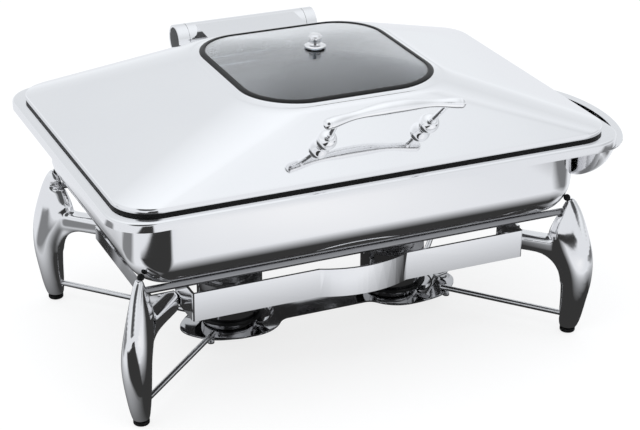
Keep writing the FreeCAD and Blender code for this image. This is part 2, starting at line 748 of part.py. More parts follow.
def hinge_tube(low, high, outer, inner=0, start=0, sweep=360):
    """Tube along the hinge axis; angles count from straight up towards the back."""
    base = Vector(low, size("hinge_back"), size(HINGE_AT))
    tube = Part.makeCylinder(outer, high - low, Vector(0, 0, 0), Vector(0, 0, 1), sweep)
    if inner:
        tube = tube.cut(Part.makeCylinder(inner, high - low, Vector(0, 0, 0)))
    # turned so that its own X points up, its Y to the front and its Z along the hinge
    tube.rotate(Vector(0, 0, 0), Vector(0, 0, 1), -start - sweep)
    turn = FreeCAD.Matrix(0, 0, 1, base.x, 0, -1, 0, base.y, 1, 0, 0, base.z, 0, 0, 0, 1)
    return tube.transformed(turn)


def make_hinge():
    outer = size("barrel_width") / 2
    bore = size("barrel_bore") / 2
    half = size("barrel_half")
    end = size("sleeve_end")
    tooth = size("stop_depth")
    gap = size("stop_gap")
    fit = size("running_fit")
    shaft = size("shaft_width") / 2
    node(worked("hinge_shaft", hinge_tube(-end + 4, end - 4, shaft)), "hinge_shaft")
    barrel = hinge_tube(-half, half, outer, bore)
    teeth = {}
    for side, name in ((-1, "left"), (1, "right")):
        near, far = sorted((side * (half - tooth - gap), side * (half + gap)))
        notch = hinge_tube(near, far, outer + 1, 0, 30, 225)
        barrel = barrel.cut(notch)
        sleeve_low, sleeve_high = sorted((side * (half + gap), side * end))
        sleeve = hinge_tube(sleeve_low, sleeve_high, outer, shaft + 0.05)
        tooth_low, tooth_high = sorted((side * (half - tooth), side * (half + gap + 1)))
        sleeve = sleeve.fuse(hinge_tube(tooth_low, tooth_high, outer, bore + 1, 125, 128))
        recess_low, recess_high = sorted((side * (end - size("cap_recess")), side * (end + 1)))
        sleeve = sleeve.cut(hinge_tube(recess_low, recess_high, outer - 3))
        teeth[name] = sleeve
    node(worked("hinge_barrel", barrel), "hinge_barrel")
    for name in teeth:
        node(worked("hinge_sleeve_" + name, teeth[name]), "hinge_sleeve_" + name)
    caps = []
    bushes = []
    for side in (-1, 1):
        cap_low, cap_high = sorted((side * (end - size("cap_recess")), side * (end - 0.2)))
        caps.append(hinge_tube(cap_low, cap_high, outer - 3 - fit))
        bush_low, bush_high = sorted((side * (half - tooth - gap - 9), side * (half - tooth - gap - 1)))
        bushes.append(hinge_tube(bush_low, bush_high, bore - 0.05, shaft + fit))
    node(worked("hinge_end_caps", Part.makeCompound(caps)), "hinge_end_caps")
    node(worked("hinge_bushes", Part.makeCompound(bushes)), "hinge_bushes")


def make_hinge_brackets():
    outer = size("barrel_width") / 2
    thick = size("bracket_sheet")
    back = size("hinge_back")
    high = size(HINGE_AT)
    deck = size("deck_height")
    # pan bracket: upright web on a foot that is riveted to the deck
    front_face = size(LID_DEPTH) / 2 + 2.5
    half = size("sleeve_end")
    ear = half - size("barrel_half") - size("stop_gap")
    web = Part.makeBox(2 * half, thick, 14, Vector(-half, front_face, deck))
    foot = Part.makeBox(2 * half, 9.5, thick, Vector(-half, front_face, deck))
    web = web.fuse(foot)
    for low in (-half, half - ear):
        web = web.fuse(Part.makeBox(ear, thick, high - deck, Vector(low, front_face, deck)))
    web = web.cut(hinge_tube(-half - 1, half + 1, outer))
    seats = []
    for x in (-75, -25, 25, 75):
        seats.append(Vector(x, front_face + thick + 3.6, deck + thick))
    rivets = []
    holes = []
    through = Vector(0, 0, thick + size("pan_sheet") + 1)
    for seat in seats:
        shank = Part.makeCylinder(1.5, through.z, seat - through)
        rivets.append(Part.makeCylinder(2.6, 1.4, seat).fuse(shank))
        holes.append(Part.makeCylinder(1.55, 20, seat - Vector(0, 0, 10)))
        web = web.cut(holes[-1])
    node(worked("hinge_pan_bracket", web), "hinge_pan_bracket")
    node(worked("hinge_rivets", Part.makeCompound(rivets)), "hinge_rivets")
    # lid bracket: plate tangent to the barrel, foot along the back slope, two end gussets
    foot_point, along, normal = slope_frame(False)
    low_point = foot_point + along * size("bracket_foot_up")
    top_point = foot_point + along * (size("bracket_foot_up") + 52)
    tangent = Vector(0, back - outer * 0.25, high + outer * 0.97)
    belly = Vector(0, back - outer * 0.99, high - 1)
    reach = size("bracket_half")

    def slab(points, low, high_x):
        face = Part.Face(Part.makePolygon([Vector(low, p.y, p.z) for p in points + points[:1]]))
        return face.extrude(Vector(high_x - low, 0, 0))

    whole = slab([tangent, top_point, low_point, belly], -reach, reach)
    inner_top = top_point - along * 7 + normal * 2.2
    inner = slab([tangent + Vector(0, 2, -thick - 0.4), inner_top,
                  low_point + normal * 2.6 - along * 8, belly + Vector(0, 8, -6)],
                 -reach + thick, reach - thick)
    bracket = whole.cut(inner).cut(hinge_tube(-reach - 1, reach + 1, outer + 0.05))
    screws = []
    for point, into in bracket_screw_seats():
        screws.append(screw_shape(point, into, size("lid_sheet + 2")))
        bracket = bracket.cut(screw_hole(point, into, 6))
    largest = max(bracket.Solids, key=lambda solid: solid.Volume)
    node(worked("hinge_lid_bracket", largest), "hinge_lid_bracket")
    node(worked("bracket_screws", Part.makeCompound(screws)), "bracket_screws")
    return holes


# Spoon basin: half-moon bowl with a flat lip, riveted to the right-hand wall of the pan

def half_bowl(label, wall, shrink):
    """Quarter of an ellipsoid: below the lip and outside the pan wall."""
    bowl = doc.addObject("Part::Ellipsoid", label + "_round")
    bowl.setExpression("Radius1", formula("basin_depth - " + shrink))
    bowl.setExpression("Radius2", formula("basin_reach - " + shrink))
    bowl.setExpression("Radius3", formula("basin_half - " + shrink))
    bowl.setExpression("Placement.Base.x", formula("well_length / 2"))
    bowl.setExpression("Placement.Base.y", formula("-basin_forward"))
    bowl.setExpression("Placement.Base.z", formula("deck_height - rim_drop - 0.5"))
    block = doc.addObject("Part::Box", label + "_block")
    block.setExpression("Length", formula("basin_reach + 20"))
    block.setExpression("Width", formula("2 * basin_half + 20"))
    block.setExpression("Height", formula("basin_depth + 20"))
    block.setExpression("Placement.Base.x", formula("well_length / 2 + " + wall))
    block.setExpression("Placement.Base.y", formula("-basin_forward - basin_half - 10"))
    block.setExpression("Placement.Base.z", formula("deck_height - rim_drop - 0.5 - basin_depth - 20"))
    doc.recompute()
    return common(label, bowl, block)


def make_basin():
    wall = size("well_length") / 2
    top = size("deck_height - rim_drop - 0.5")
    middle = -size("basin_forward")
    thick = size("basin_sheet")
    outside = half_bowl("basin_outside", "0.1", "0 * basin_sheet")
    inside = half_bowl("basin_inside", "(0.1 + basin_sheet)", "basin_sheet")
    reach = size("basin_reach")
    half = size("basin_half")
    lip = size("basin_lip")
    plate = Part.Face(Part.Wire([Part.Ellipse(Vector(wall, middle, top - thick), half + lip,
                                              reach + lip).toShape()]))
    plate.rotate(Vector(wall, middle, 0), Vector(0, 0, 1), 90)
    band = plate.extrude(Vector(0, 0, thick))
    band = band.common(Part.makeBox(200, 400, 10, Vector(wall + 0.1, middle - 200, top - 5)))
    bowl = outside.Shape.fuse(band)
    hole = Part.Face(Part.Wire([Part.Ellipse(Vector(wall, middle, top - 2), half - thick,
                                             reach - thick).toShape()]))
    hole.rotate(Vector(wall, middle, 0), Vector(0, 0, 1), 90)
    mouth = hole.extrude(Vector(0, 0, 4))
    mouth = mouth.common(Part.makeBox(200, 400, 10, Vector(wall + 0.1 + thick, middle - 200, top - 5)))
    bowl = bowl.cut(inside.Shape).cut(mouth)
    rivets = []
    holes = []
    for offset in (-50, 0, 50):
        seat = Vector(wall + 0.1 + thick, middle + offset, top - 14)
        head_cap = Part.makeCylinder(3.5, 1.4, seat, Vector(1, 0, 0))
        shank = Part.makeCylinder(2, 3.4, seat, Vector(-1, 0, 0))
        rivets.append(head_cap.fuse(shank))
        holes.append(Part.makeCylinder(2.05, 8, seat - Vector(5, 0, 0), Vector(1, 0, 0)))
        bowl = bowl.cut(holes[-1])
    node(worked("spoon_basin", bowl), "spoon_basin")
    node(worked("basin_rivets", Part.makeCompound(rivets)), "basin_rivets")
    return holes


# Stand legs: cast tusks standing on the diagonals, each with an arm for the rails

CORNERS = (("front_left", -1, -1), ("front_right", 1, -1), ("rear_left", -1, 1), ("rear_right", 1, 1))

# height, inner and outer edge of the tusk from the middle of the foot, and its width
TUSK = (
    (5, -9.5, 9.5, 18.5), (16, -11, 14, 22), (32, -11, 17.5, 26.5), (50, -11, 21, 30),
    (70, -12, 24, 32), (90, -18, 24.5, 31.5), (105, -26, 23, 29), (120, -30, 19.5, 25.5),
    (136, -26, 14.5, 20.5), (150, -20, 9.5, 15.5), (162, -14.5, 3.5, 11.5), (170, -11.5, -2.5, 8.5))


def support_height():
    """Centre height of the two rods, a seat gap below the bend of the pan bottom."""
    bend = size("well_bend")
    beside = size("support_back - (well_depth / 2 - well_bend)")
    apart = bend + size("seat_gap") + size("support_width") / 2
    return size("well_bottom") + bend - math.sqrt(apart ** 2 - max(beside, 0) ** 2)


def support_rod(side, extra=0):
    reach = size("foot_side") - 11
    start = Vector(-reach - 20 * (extra > 0), side * size("support_back"), support_height())
    length = 2 * reach + 40 * (extra > 0)
    return Part.makeCylinder(size("support_width") / 2 + extra, length, start, Vector(1, 0, 0))


def brace_ends(x_side, y_side):
    """Axis points of a brace rod: inside the leg, and on top of the shelf corner."""
    height = size("shelf_top + brace_width / 2")
    inward = 7 / math.sqrt(2)
    leg = Vector(x_side * (size("foot_side") - inward), y_side * (size("foot_front") - inward), height)
    shelf = Vector(x_side * size("shelf_nut_side") + size("shelf_right"),
                   y_side * size("shelf_nut_back") - size("shelf_forward"), height)
    return leg, shelf


def brace_rod(x_side, y_side, extra=0):
    leg, shelf = brace_ends(x_side, y_side)
    along = shelf - leg
    return Part.makeCylinder(size("brace_width") / 2 + extra, along.Length, leg, along)


def tip_bumper(x_side, y_side):
    """Rubber ball let into the tip of a leg, a seat gap from the corner of the pan."""
    height = TUSK[-1][0]
    bend = size("well_bend")
    drop = size("well_bottom") + bend - height
    apart = bend + size("tip_ball") / 2 + 0.3
    centre = Vector(x_side * size("well_length / 2 - well_corner"),
                    y_side * size("well_depth / 2 - well_corner"), height)
    foot = Vector(x_side * size("foot_side"), y_side * size("foot_front"), height)
    inward = Vector(-x_side, -y_side, 0).normalize()
    reach = size("well_corner") - bend + math.sqrt(apart ** 2 - drop ** 2)
    across = (foot - centre) - inward * (foot - centre).dot(inward)
    return centre + across - inward * math.sqrt(reach ** 2 - across.Length ** 2)


def make_legs():
    low = size("arm_low")
    high = size("arm_high")
    wide = size("arm_width")
    sections = []
    for height, inner, outer, width in TUSK:
        centre = Vector((inner + outer) / 2, 0, height)
        depth = (outer - inner) / 2
        if depth >= width / 2:
            ellipse = Part.Ellipse(centre, depth, width / 2)
        else:
            ellipse = Part.Ellipse(centre + Vector(0, width / 2, 0), centre + Vector(depth, 0, 0), centre)
        sections.append(Part.Wire([ellipse.toShape()]))
    tusk = Part.makeLoft(sections, True, False)
    reach = 110
    arm = Part.makeBox(reach, wide, high - low, Vector(-reach - 8, -wide / 2, low))
    arm = arm.makeFillet(4, [edge for edge in arm.Edges
                             if abs(edge.BoundBox.XMax - edge.BoundBox.XMin) > reach - 1])
    arch = Part.makeCylinder(34, 60, Vector(-46, -30, low - 34), Vector(0, 1, 0))
    web = Part.makeBox(40, wide * 0.8, 36, Vector(-46, -wide * 0.4, low - 34)).cut(arch)
    leg = tusk.fuse(arm).fuse(web)
    pads = []
    bumpers = []
    for name, x_side, y_side in CORNERS:
        foot = Vector(x_side * size("foot_side"), y_side * size("foot_front"), 0)
        angle = math.degrees(math.atan2(y_side, x_side))
        placed = leg.copy()
        placed.rotate(Vector(0, 0, 0), Vector(0, 0, 1), angle)
        placed.translate(foot)
        # the arm ends in a corner: one face takes a rail end, the other a side rail end
        far = size("rail_side")
        back = size("arm_tip_back")
        keep = Part.makeBox(400, 400, 400, Vector(far if x_side > 0 else -far - 400,
                                                  back if y_side > 0 else -back - 400, -10))
        placed = placed.common(keep)
        placed = placed.cut(support_rod(y_side, 0.05)).cut(brace_rod(x_side, y_side, 0.05))
        ball = Part.makeSphere(size("tip_ball") / 2, tip_bumper(x_side, y_side))
        placed = placed.cut(Part.makeSphere(size("tip_ball") / 2 + 0.05, tip_bumper(x_side, y_side)))
        for point, into in rail_screw_seats(x_side, y_side):
            placed = placed.cut(screw_hole(point, into, 16))
        bumpers.append(ball)
        pad_shape = Part.makeCylinder(size("pad_width") / 2, size("pad_height"), foot)
        pads.append(pad_shape.makeFillet(2, [edge for edge in pad_shape.Edges
                                             if edge.BoundBox.ZMax < 0.01]))
        largest = max(placed.Solids, key=lambda solid: solid.Volume)
        node(worked("leg_" + name, largest), "leg_" + name)
    node(worked("foot_pads", Part.makeCompound(pads)), "foot_pads")
    node(worked("tip_bumpers", Part.makeCompound(bumpers)), "tip_bumpers")


# Rails: flat strips with a bowed middle and ends turned back against the leg arms

def rail_screw_seats(x_side, y_side):
    """Screw seats on the rail end and on the side rail end at one corner."""
    middle = size("arm_low + arm_high") / 2
    thick = size("rail_sheet")
    along_y = size("arm_tip_back") + 7
    along_x = size("rail_side") + 7
    rail_end = Vector(x_side * (size("rail_side") - thick), y_side * along_y, middle + 4)
    side_end = Vector(x_side * along_x, y_side * (size("arm_tip_back") - thick), middle - 4)
    return [(rail_end, Vector(x_side, 0, 0)), (side_end, Vector(0, y_side, 0))]


def make_rails():
    side = size("rail_side")
    front = size("rail_front")
    thick = size("rail_sheet")
    bow = size("rail_bow")
    half_bow = size("bow_half")
    low = size("rail_low")
    tall = size("rail_high") - low
    back = size("arm_tip_back") + 0.5
    screws = []

    def line(x1, y1, x2, y2):
        return Part.makeLine(Vector(x1, y1, low), Vector(x2, y2, low))

    def strip(inset):
        x = side - inset
        y = -front + inset
        arc = Part.Arc(Vector(-half_bow, y, low), Vector(0, y - bow, low), Vector(half_bow, y, low))
        return [line(-x, -back, -x, y), line(-x, y, -half_bow, y), arc.toShape(),
                line(half_bow, y, x, y), line(x, y, x, -back)]

    outer = strip(0)
    inner = strip(thick)
    closing = [line(-side, -back, -side + thick, -back), line(side, -back, side - thick, -back)]
    outline = Part.Wire(Part.__sortEdges__(outer + inner + closing))
    rail = Part.Face(outline).extrude(Vector(0, 0, tall))
    bends = [edge for edge in rail.Edges
             if abs(edge.BoundBox.ZMax - edge.BoundBox.ZMin - tall) < 0.01
             and abs(abs(edge.BoundBox.XMin) - side) < 0.01
             and abs(edge.BoundBox.YMin + front) < 0.01]
    rail = rail.makeFillet(thick * 0.9, bends)
    rear = rail.copy()
    rear.rotate(Vector(0, 0, 0), Vector(0, 0, 1), 180)
    side_at = size("side_rail_at")
    side_low = size("side_rail_low")
    side_tall = size("side_rail_high") - side_low
    reach = size("arm_tip_back")
    side_rail = Part.makeBox(side_at - side, 2 * reach, side_tall, Vector(side + 1, -reach, side_low))
    side_rail = side_rail.cut(Part.makeBox(side_at - side - thick, 2 * (reach - thick), side_tall,
                                           Vector(side + 1 - 0.01, -reach + thick, side_low)))
    side_rail.translate(Vector(-1, 0, 0))
    left_rail = side_rail.copy()
    left_rail.rotate(Vector(0, 0, 0), Vector(0, 0, 1), 180)
    shapes = {"rail_front": rail, "rail_rear": rear, "rail_right": side_rail, "rail_left": left_rail}
    for name, x_side, y_side in CORNERS:
        for point, into in rail_screw_seats(x_side, y_side):
            screws.append(screw_shape(point, into, 14))
            for label in shapes:
                shapes[label] = shapes[label].cut(screw_hole(point, into, 14))
    for label, shape in shapes.items():
        node(worked(label, shape), label)
    node(worked("rail_screws", Part.makeCompound(screws)), "rail_screws")
    node(worked("support_rod_front", support_rod(-1)), "support_rod_front")
    node(worked("support_rod_rear", support_rod(1)), "support_rod_rear")


# Burner shelf: flat plate with a round lobe under each burner and wide rounded ends

# end of the shelf beyond a lobe: shares of the way to the tip and of the lobe radius
SHELF_END = ((0.33, 0.96), (0.62, 0.82), (0.84, 0.52), (0.99, 0.1))


def shelf_end(x_side, bottom):
    """Plate from the widest line of a lobe out to the rounded end of the shelf."""
    lobe = size("shelf_lobe")
    start = size("lobe_side")
    reach = size("shelf_tip") - start
    front = [Vector(start, -lobe, bottom)]
    for out, across in SHELF_END:
        front.append(Vector(start + reach * out, -lobe * across, bottom))
    back = [Vector(point.x, -point.y, point.z) for point in reversed(front)]
    curve = Part.BSplineCurve()
    curve.interpolate(front + back, InitialTangent=Vector(1, 0, 0), FinalTangent=Vector(-1, 0, 0))
    outline = Part.Wire([curve.toShape(), Part.makeLine(back[-1], front[0])])
    plate = Part.Face(outline).extrude(Vector(0, 0, size("shelf_sheet")))
    if x_side < 0:
        plate.rotate(Vector(0, 0, 0), Vector(0, 0, 1), 180)
    return plate


def make_shelf():
    top = size("shelf_top")
    thick = size("shelf_sheet")
    low = top - thick
    start = size("lobe_side")
    waist = size("shelf_waist")
    plate = Part.makeBox(2 * start, 2 * waist, thick, Vector(-start, -waist, low))
    for x_side in (-1, 1):
        lobe = Part.makeCylinder(size("shelf_lobe"), thick, Vector(x_side * start, 0, low))
        plate = plate.fuse(lobe).fuse(shelf_end(x_side, low))
    plate = plate.removeSplitter()
    inner_corners = []
    for edge in plate.Edges:
        box = edge.BoundBox
        upright = abs(box.ZLength - thick) < 0.01 and box.XLength < 0.01
        if upright and abs(abs(box.YMin) - waist) < 0.01:
            inner_corners.append(edge)
    plate = plate.makeFillet(size("waist_blend"), inner_corners)
    # tab turned up from the right-hand end, wider at its top
    wide = size("tab_width")
    rise = size("tab_rise")
    end = size("shelf_tip") - 20
    tab = Part.makePolygon([
        Vector(end - 4, 0, low), Vector(end + 4, 0, low), Vector(end + wide * 0.62, 0, top + rise),
        Vector(end, 0, top + rise - 1), Vector(end - wide * 0.38, 0, top + rise - 1),
        Vector(end - 4, 0, low)])
    leaf = Part.Face(tab).extrude(Vector(0, thick, 0))
    leaf.translate(Vector(0, -thick - 3, 0))
    plate = plate.fuse(leaf)
    plate.translate(Vector(size("shelf_right"), -size("shelf_forward"), 0))
    plate = plate.removeSplitter()
    screws = []
    stud_wide = size("screw_width") / 2
    hole_wide = stud_wide + 0.05
    for name, x_side, y_side in CORNERS:
        leg, shelf = brace_ends(x_side, y_side)
        inward = (leg - shelf).normalize()
        seat = Vector(shelf.x, shelf.y, low) + Vector(inward.x, inward.y, 0) * 6
        plate = plate.cut(Part.makeCylinder(hole_wide, 10, seat - Vector(0, 0, 5)))
        rod = brace_rod(x_side, y_side)
        rod = rod.cut(Part.makeCylinder(hole_wide, thick + 4.6, seat))
        node(worked("brace_rod_" + name, rod), "brace_rod_" + name)
        stud = Part.makeCylinder(stud_wide, thick + 4.5, seat)
        nut = Part.makeCylinder(size("screw_head") / 2, 4, seat - Vector(0, 0, 4))
        screws.append(stud.fuse(nut))
    node(worked("burner_shelf", plate), "burner_shelf")
    node(worked("brace_screws", Part.makeCompound(screws)), "brace_screws")


# Fuel holders: open cup with a rubber ring and a carrying loop, covered by a ring with a damper

def make_fuel_holder(name, x_side):
    place = {"x": "%d * burner_side" % x_side, "y": "-shelf_forward", "z": "shelf_top + seat_gap"}
    node(turned("cup_" + name, [
        ("0", "0"), ("cup_foot / 2", "0"), ("cup_width / 2 - 2.5", "cup_step"),
        ("cup_width / 2 - 2.5", "cup_step + ring_height"), ("cup_width / 2", "cup_step + ring_height"),
        ("cup_width / 2", "cup_tall"), ("cup_width / 2 - cup_sheet", "cup_tall"),
        ("cup_width / 2 - cup_sheet", "cup_step + ring_height + cup_sheet"),
        ("cup_width / 2 - 2.5 - cup_sheet", "cup_step + ring_height + cup_sheet"),
        ("cup_width / 2 - 2.5 - cup_sheet", "cup_step"), ("cup_foot / 2 - cup_sheet", "cup_sheet"),
        ("0", "cup_sheet")], **place), "cup_" + name)
    node(turned("cup_ring_" + name, [
        ("cup_width / 2 - 2.5 + 0.05", "cup_step + 0.1"), ("ring_width / 2", "cup_step + 0.1"),
        ("ring_width / 2", "cup_step + ring_height - 0.1"),
        ("cup_width / 2 - 2.5 + 0.05", "cup_step + ring_height - 0.1")], **place),
        "cup_ring_" + name)
    cover = turned("cover_blank_" + name, [
        ("flame_hole / 2", "cup_tall"), ("cup_width / 2 + 1.2", "cup_tall"),
        ("cup_width / 2 + 1.2", "cup_tall - 7"), ("cup_width / 2 + 2.2", "cup_tall - 7"),
        ("cup_width / 2 + 2.2", "cup_tall + 1.2"), ("flame_hole / 2", "cup_tall + 1.2")], **place)
    middle = Vector(x_side * size("burner_side"), -size("shelf_forward"), size("shelf_top + seat_gap"))
    tall = size("cup_tall")
    pivot = middle + Vector(-size("damper_pivot"), 0, tall)
    pin = Part.makeCylinder(1.8, 4, pivot).fuse(Part.makeCylinder(3.4, 1.4, pivot + Vector(0, 0, 3)))
    node(worked("cup_cover_" + name, cover.Shape.fuse(pin)), "cup_cover_" + name)
    base = middle + Vector(0, 0, tall + 1.2 + 0.2)
    plate = Part.makeCylinder(size("damper_width") / 2, 1.2, base)
    arm = Part.makeBox(size("damper_pivot"), 10, 1.2, base + Vector(-size("damper_pivot"), -5, 0))
    ear = Part.makeCylinder(5, 1.2, Vector(pivot.x, pivot.y, base.z))
    grip = Part.makeBox(size("damper_width") / 2 + 14, 12, 1.2, base + Vector(0, -6, 0))
    lip = Part.makeBox(1.2, 12, 6, base + Vector(size("damper_width") / 2 + 14, -6, 0))
    damper = plate.fuse(arm).fuse(ear).fuse(grip).fuse(lip).removeSplitter()
    damper = damper.cut(Part.makeCylinder(1.8 + size("running_fit"), 6, pivot))
    node(worked("damper_" + name, damper), "damper_" + name)
    make_cup_loop(name, middle)


def make_cup_loop(name, middle):
    """Carrying loop: bent strip from the cup wall round the rubber ring to the tapered foot."""
    step = size("cup_step")
    groove = size("cup_width") / 2 - 2.5
    wall = size("cup_width") / 2
    solid_cup = Part.makeCone(size("cup_foot") / 2, groove, step)
    solid_cup = solid_cup.fuse(Part.makeCylinder(groove, size("cup_tall"), Vector(0, 0, 0)).common(
        Part.makeBox(200, 200, size("cup_tall"), Vector(-100, -100, step))))
    ledge = step + size("ring_height")
    solid_cup = solid_cup.fuse(Part.makeCylinder(wall, size("cup_tall") - ledge, Vector(0, 0, ledge)))
    low = size("loop_low")
    high = size("loop_high")
    thick = size("loop_sheet")
    wide = size("loop_width")
    centre = Vector(wall - 1, 0, (low + high) / 2)
    strips = []
    for inset in (0, thick):
        curve = Part.Ellipse(centre, size("loop_reach") - inset, (high - low) / 2 - inset)
        face = Part.Face(Part.Wire([curve.toShape()]))
        face.rotate(centre, Vector(1, 0, 0), 90)
        strip = face.extrude(Vector(0, wide, 0))
        strip.translate(Vector(0, -wide / 2, 0))
        strips.append(strip)
    loop = strips[0].cut(strips[1])
    loop = loop.common(Part.makeBox(60, wide, 80, Vector(centre.x, -wide / 2, 0)))
    root = Part.makeBox(10, wide, thick, Vector(centre.x - 10, -wide / 2, low))
    loop = loop.fuse(root).cut(solid_cup)
    loop = max(loop.Solids, key=lambda solid: solid.Volume).removeSplitter()
    loop.rotate(Vector(0, 0, 0), Vector(0, 0, 1), -size("loop_turn"))
    loop.translate(middle)
    node(worked("cup_loop_" + name, loop), "cup_loop_" + name)


pan_blank = make_water_pan()
make_food_pan()
lid_blank = make_lid()
make_lid_shell(lid_blank)
make_window(lid_blank)
make_lid_seal()
make_vent()
make_handle()
make_hinge()
pan_holes = make_hinge_brackets() + make_basin()
make_pan_shell(pan_blank, pan_holes)
make_legs()
make_rails()
make_shelf()
make_fuel_holder("left", -1)
make_fuel_holder("right", 1)
doc.recompute()

faults = []
for piece in doc.Objects:
    if "Invalid" in piece.State or "Error" in piece.State:
        faults.append(piece.Name + " didn't compute")
for piece in nodes:
    if piece.Shape.isNull() or not piece.Shape.isValid() or not piece.Shape.Solids:
        faults.append(piece.Label + " has no valid solid")
if faults:
    raise RuntimeError("; ".join(faults))

os.makedirs("parts", exist_ok=True)
for piece in nodes:
    piece.Shape.exportStep("parts/" + piece.Label + ".step")
print(len(nodes), "pieces written")
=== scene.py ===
import json
import math
import bmesh
import bpy
from mathutils import Matrix, Vector

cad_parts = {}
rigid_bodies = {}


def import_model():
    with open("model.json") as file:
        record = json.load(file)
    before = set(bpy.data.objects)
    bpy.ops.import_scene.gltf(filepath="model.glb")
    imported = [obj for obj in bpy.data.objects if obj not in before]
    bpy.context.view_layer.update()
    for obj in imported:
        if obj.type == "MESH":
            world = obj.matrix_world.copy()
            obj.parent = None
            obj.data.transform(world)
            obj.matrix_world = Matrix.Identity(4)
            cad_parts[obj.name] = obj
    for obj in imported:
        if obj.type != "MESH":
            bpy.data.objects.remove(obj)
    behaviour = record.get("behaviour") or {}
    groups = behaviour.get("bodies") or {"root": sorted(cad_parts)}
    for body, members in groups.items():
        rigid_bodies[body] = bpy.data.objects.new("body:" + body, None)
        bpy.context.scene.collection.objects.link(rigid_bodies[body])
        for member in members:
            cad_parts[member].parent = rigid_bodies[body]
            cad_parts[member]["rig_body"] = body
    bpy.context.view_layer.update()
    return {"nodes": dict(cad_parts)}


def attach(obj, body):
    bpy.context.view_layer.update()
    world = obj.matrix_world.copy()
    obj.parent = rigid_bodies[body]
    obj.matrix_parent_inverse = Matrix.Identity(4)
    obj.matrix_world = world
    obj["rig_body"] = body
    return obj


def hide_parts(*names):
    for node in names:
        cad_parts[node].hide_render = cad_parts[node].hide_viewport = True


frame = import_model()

# The imported chafing dish is the frame: X to the right, Y to the back, Z up, in metres.
nodes = frame["nodes"]


# Camera: in front and to the left of the dish, a little above it, with a long lens.
# It stands where the perspective of the rim and of the four feet puts it.
azimuth = math.radians(-24.24)
elevation = math.radians(24.86)
camera_roll = math.radians(0.45)
camera_distance = 2.1332
camera_aim = Vector((0.0173, 0.0045, 0.1248))
towards_camera = Vector((math.sin(azimuth) * math.cos(elevation),
                         -math.cos(azimuth) * math.cos(elevation),
                         math.sin(elevation)))
camera_data = bpy.data.cameras.new("camera")
camera_data.sensor_width = 36.0
camera_data.lens = 101.8
camera_data.clip_end = 50.0
camera = bpy.data.objects.new("camera", camera_data)
bpy.context.scene.collection.objects.link(camera)
look = (-towards_camera).to_track_quat("-Z", "Y").to_matrix().to_4x4()
camera.matrix_world = (Matrix.Translation(camera_aim + towards_camera * camera_distance)
                       @ look @ Matrix.Rotation(camera_roll, 4, "Z"))
bpy.context.scene.camera = camera


# Studio: a wide pale floor under a white sky, with one large soft lamp overhead.
# Polished metal also mirrors what the camera doesn't see: a shaded wall and a dark end in the sky,
# painted shade and painted dark reflections on the floor, and a painted lighter pool before the dish.

class Signal:
    """Output of a shader node. Arithmetic on it adds the Math nodes."""

    def __init__(self, finish, socket):
        self.finish = finish
        self.socket = socket

    def maths(self, operation, first, second):
        return self.finish.add("ShaderNodeMath", {"operation": operation}, {0: first, 1: second})

    def __add__(self, other):
        return self.maths("ADD", self, other)

    def __sub__(self, other):
        return self.maths("SUBTRACT", self, other)

    def __rsub__(self, other):
        return self.maths("SUBTRACT", other, self)

    def __mul__(self, other):
        return self.maths("MULTIPLY", self, other)

    def larger(self, other):
        return self.maths("MAXIMUM", self, other)

    def size(self):
        return self.finish.add("ShaderNodeMath", {"operation": "ABSOLUTE"}, {0: self})

    def kept(self):
        """The value, held between 0 and 1."""
        return self.finish.add("ShaderNodeClamp", {}, {"Value": self})


class Finish:
    """Shader nodes of one material or of the world."""

    def __init__(self, owner):
        self.owner = owner
        owner.use_nodes = True
        self.tree = owner.node_tree
        self.tree.nodes.clear()

    def add(self, kind, settings, inputs, output=0):
        node = self.tree.nodes.new(kind)
        for name, value in settings.items():
            if name == "stops":
                ramp = node.color_ramp
                while len(ramp.elements) < len(value):
                    ramp.elements.new(0.5)
                for element, (place, shade) in zip(ramp.elements, value):
                    element.position = place
                    element.color = (shade, shade, shade, 1.0)
            else:
                setattr(node, name, value)
        for name, value in inputs.items():
            if isinstance(value, Signal):
                self.tree.links.new(value.socket, node.inputs[name])
            else:
                node.inputs[name].default_value = value
        return Signal(self, node.outputs[output]) if len(node.outputs) else None


def grey(level, blue=0.0):
    return (level, level, min(1.0, level + blue), 1.0)


scene = bpy.context.scene
scene.view_settings.view_transform = "Standard"
world = bpy.data.worlds.new("studio")
scene.world = world
sky = Finish(world)
direction = sky.add("ShaderNodeTexCoord", {}, {}, "Generated")
height = sky.add("ShaderNodeSeparateXYZ", {}, {"Vector": direction}, "Z")
rightwards = sky.add("ShaderNodeSeparateXYZ", {}, {"Vector": direction}, "X")
backwards = sky.add("ShaderNodeSeparateXYZ", {}, {"Vector": direction}, "Y")
# greys of the sky, from straight down (0) over the horizon (0.5) to straight up (1)
sky_greys = ((0.0, 0.8), (0.49, 0.9), (0.53, 0.95), (0.62, 0.86),
             (0.72, 0.82), (0.84, 0.92), (0.92, 1.0), (1.0, 1.06))
sky_tint = (0.97, 1.0, 1.035)
band = sky.add("ShaderNodeValToRGB", {"stops": sky_greys}, {"Fac": height * 0.5 + 0.5})
# the side wall on the right of the studio is a little darker
wall_shade = ((rightwards - 0.36) * 2.6).kept() * ((0.3 - backwards) * 3.0).kept() * 0.24
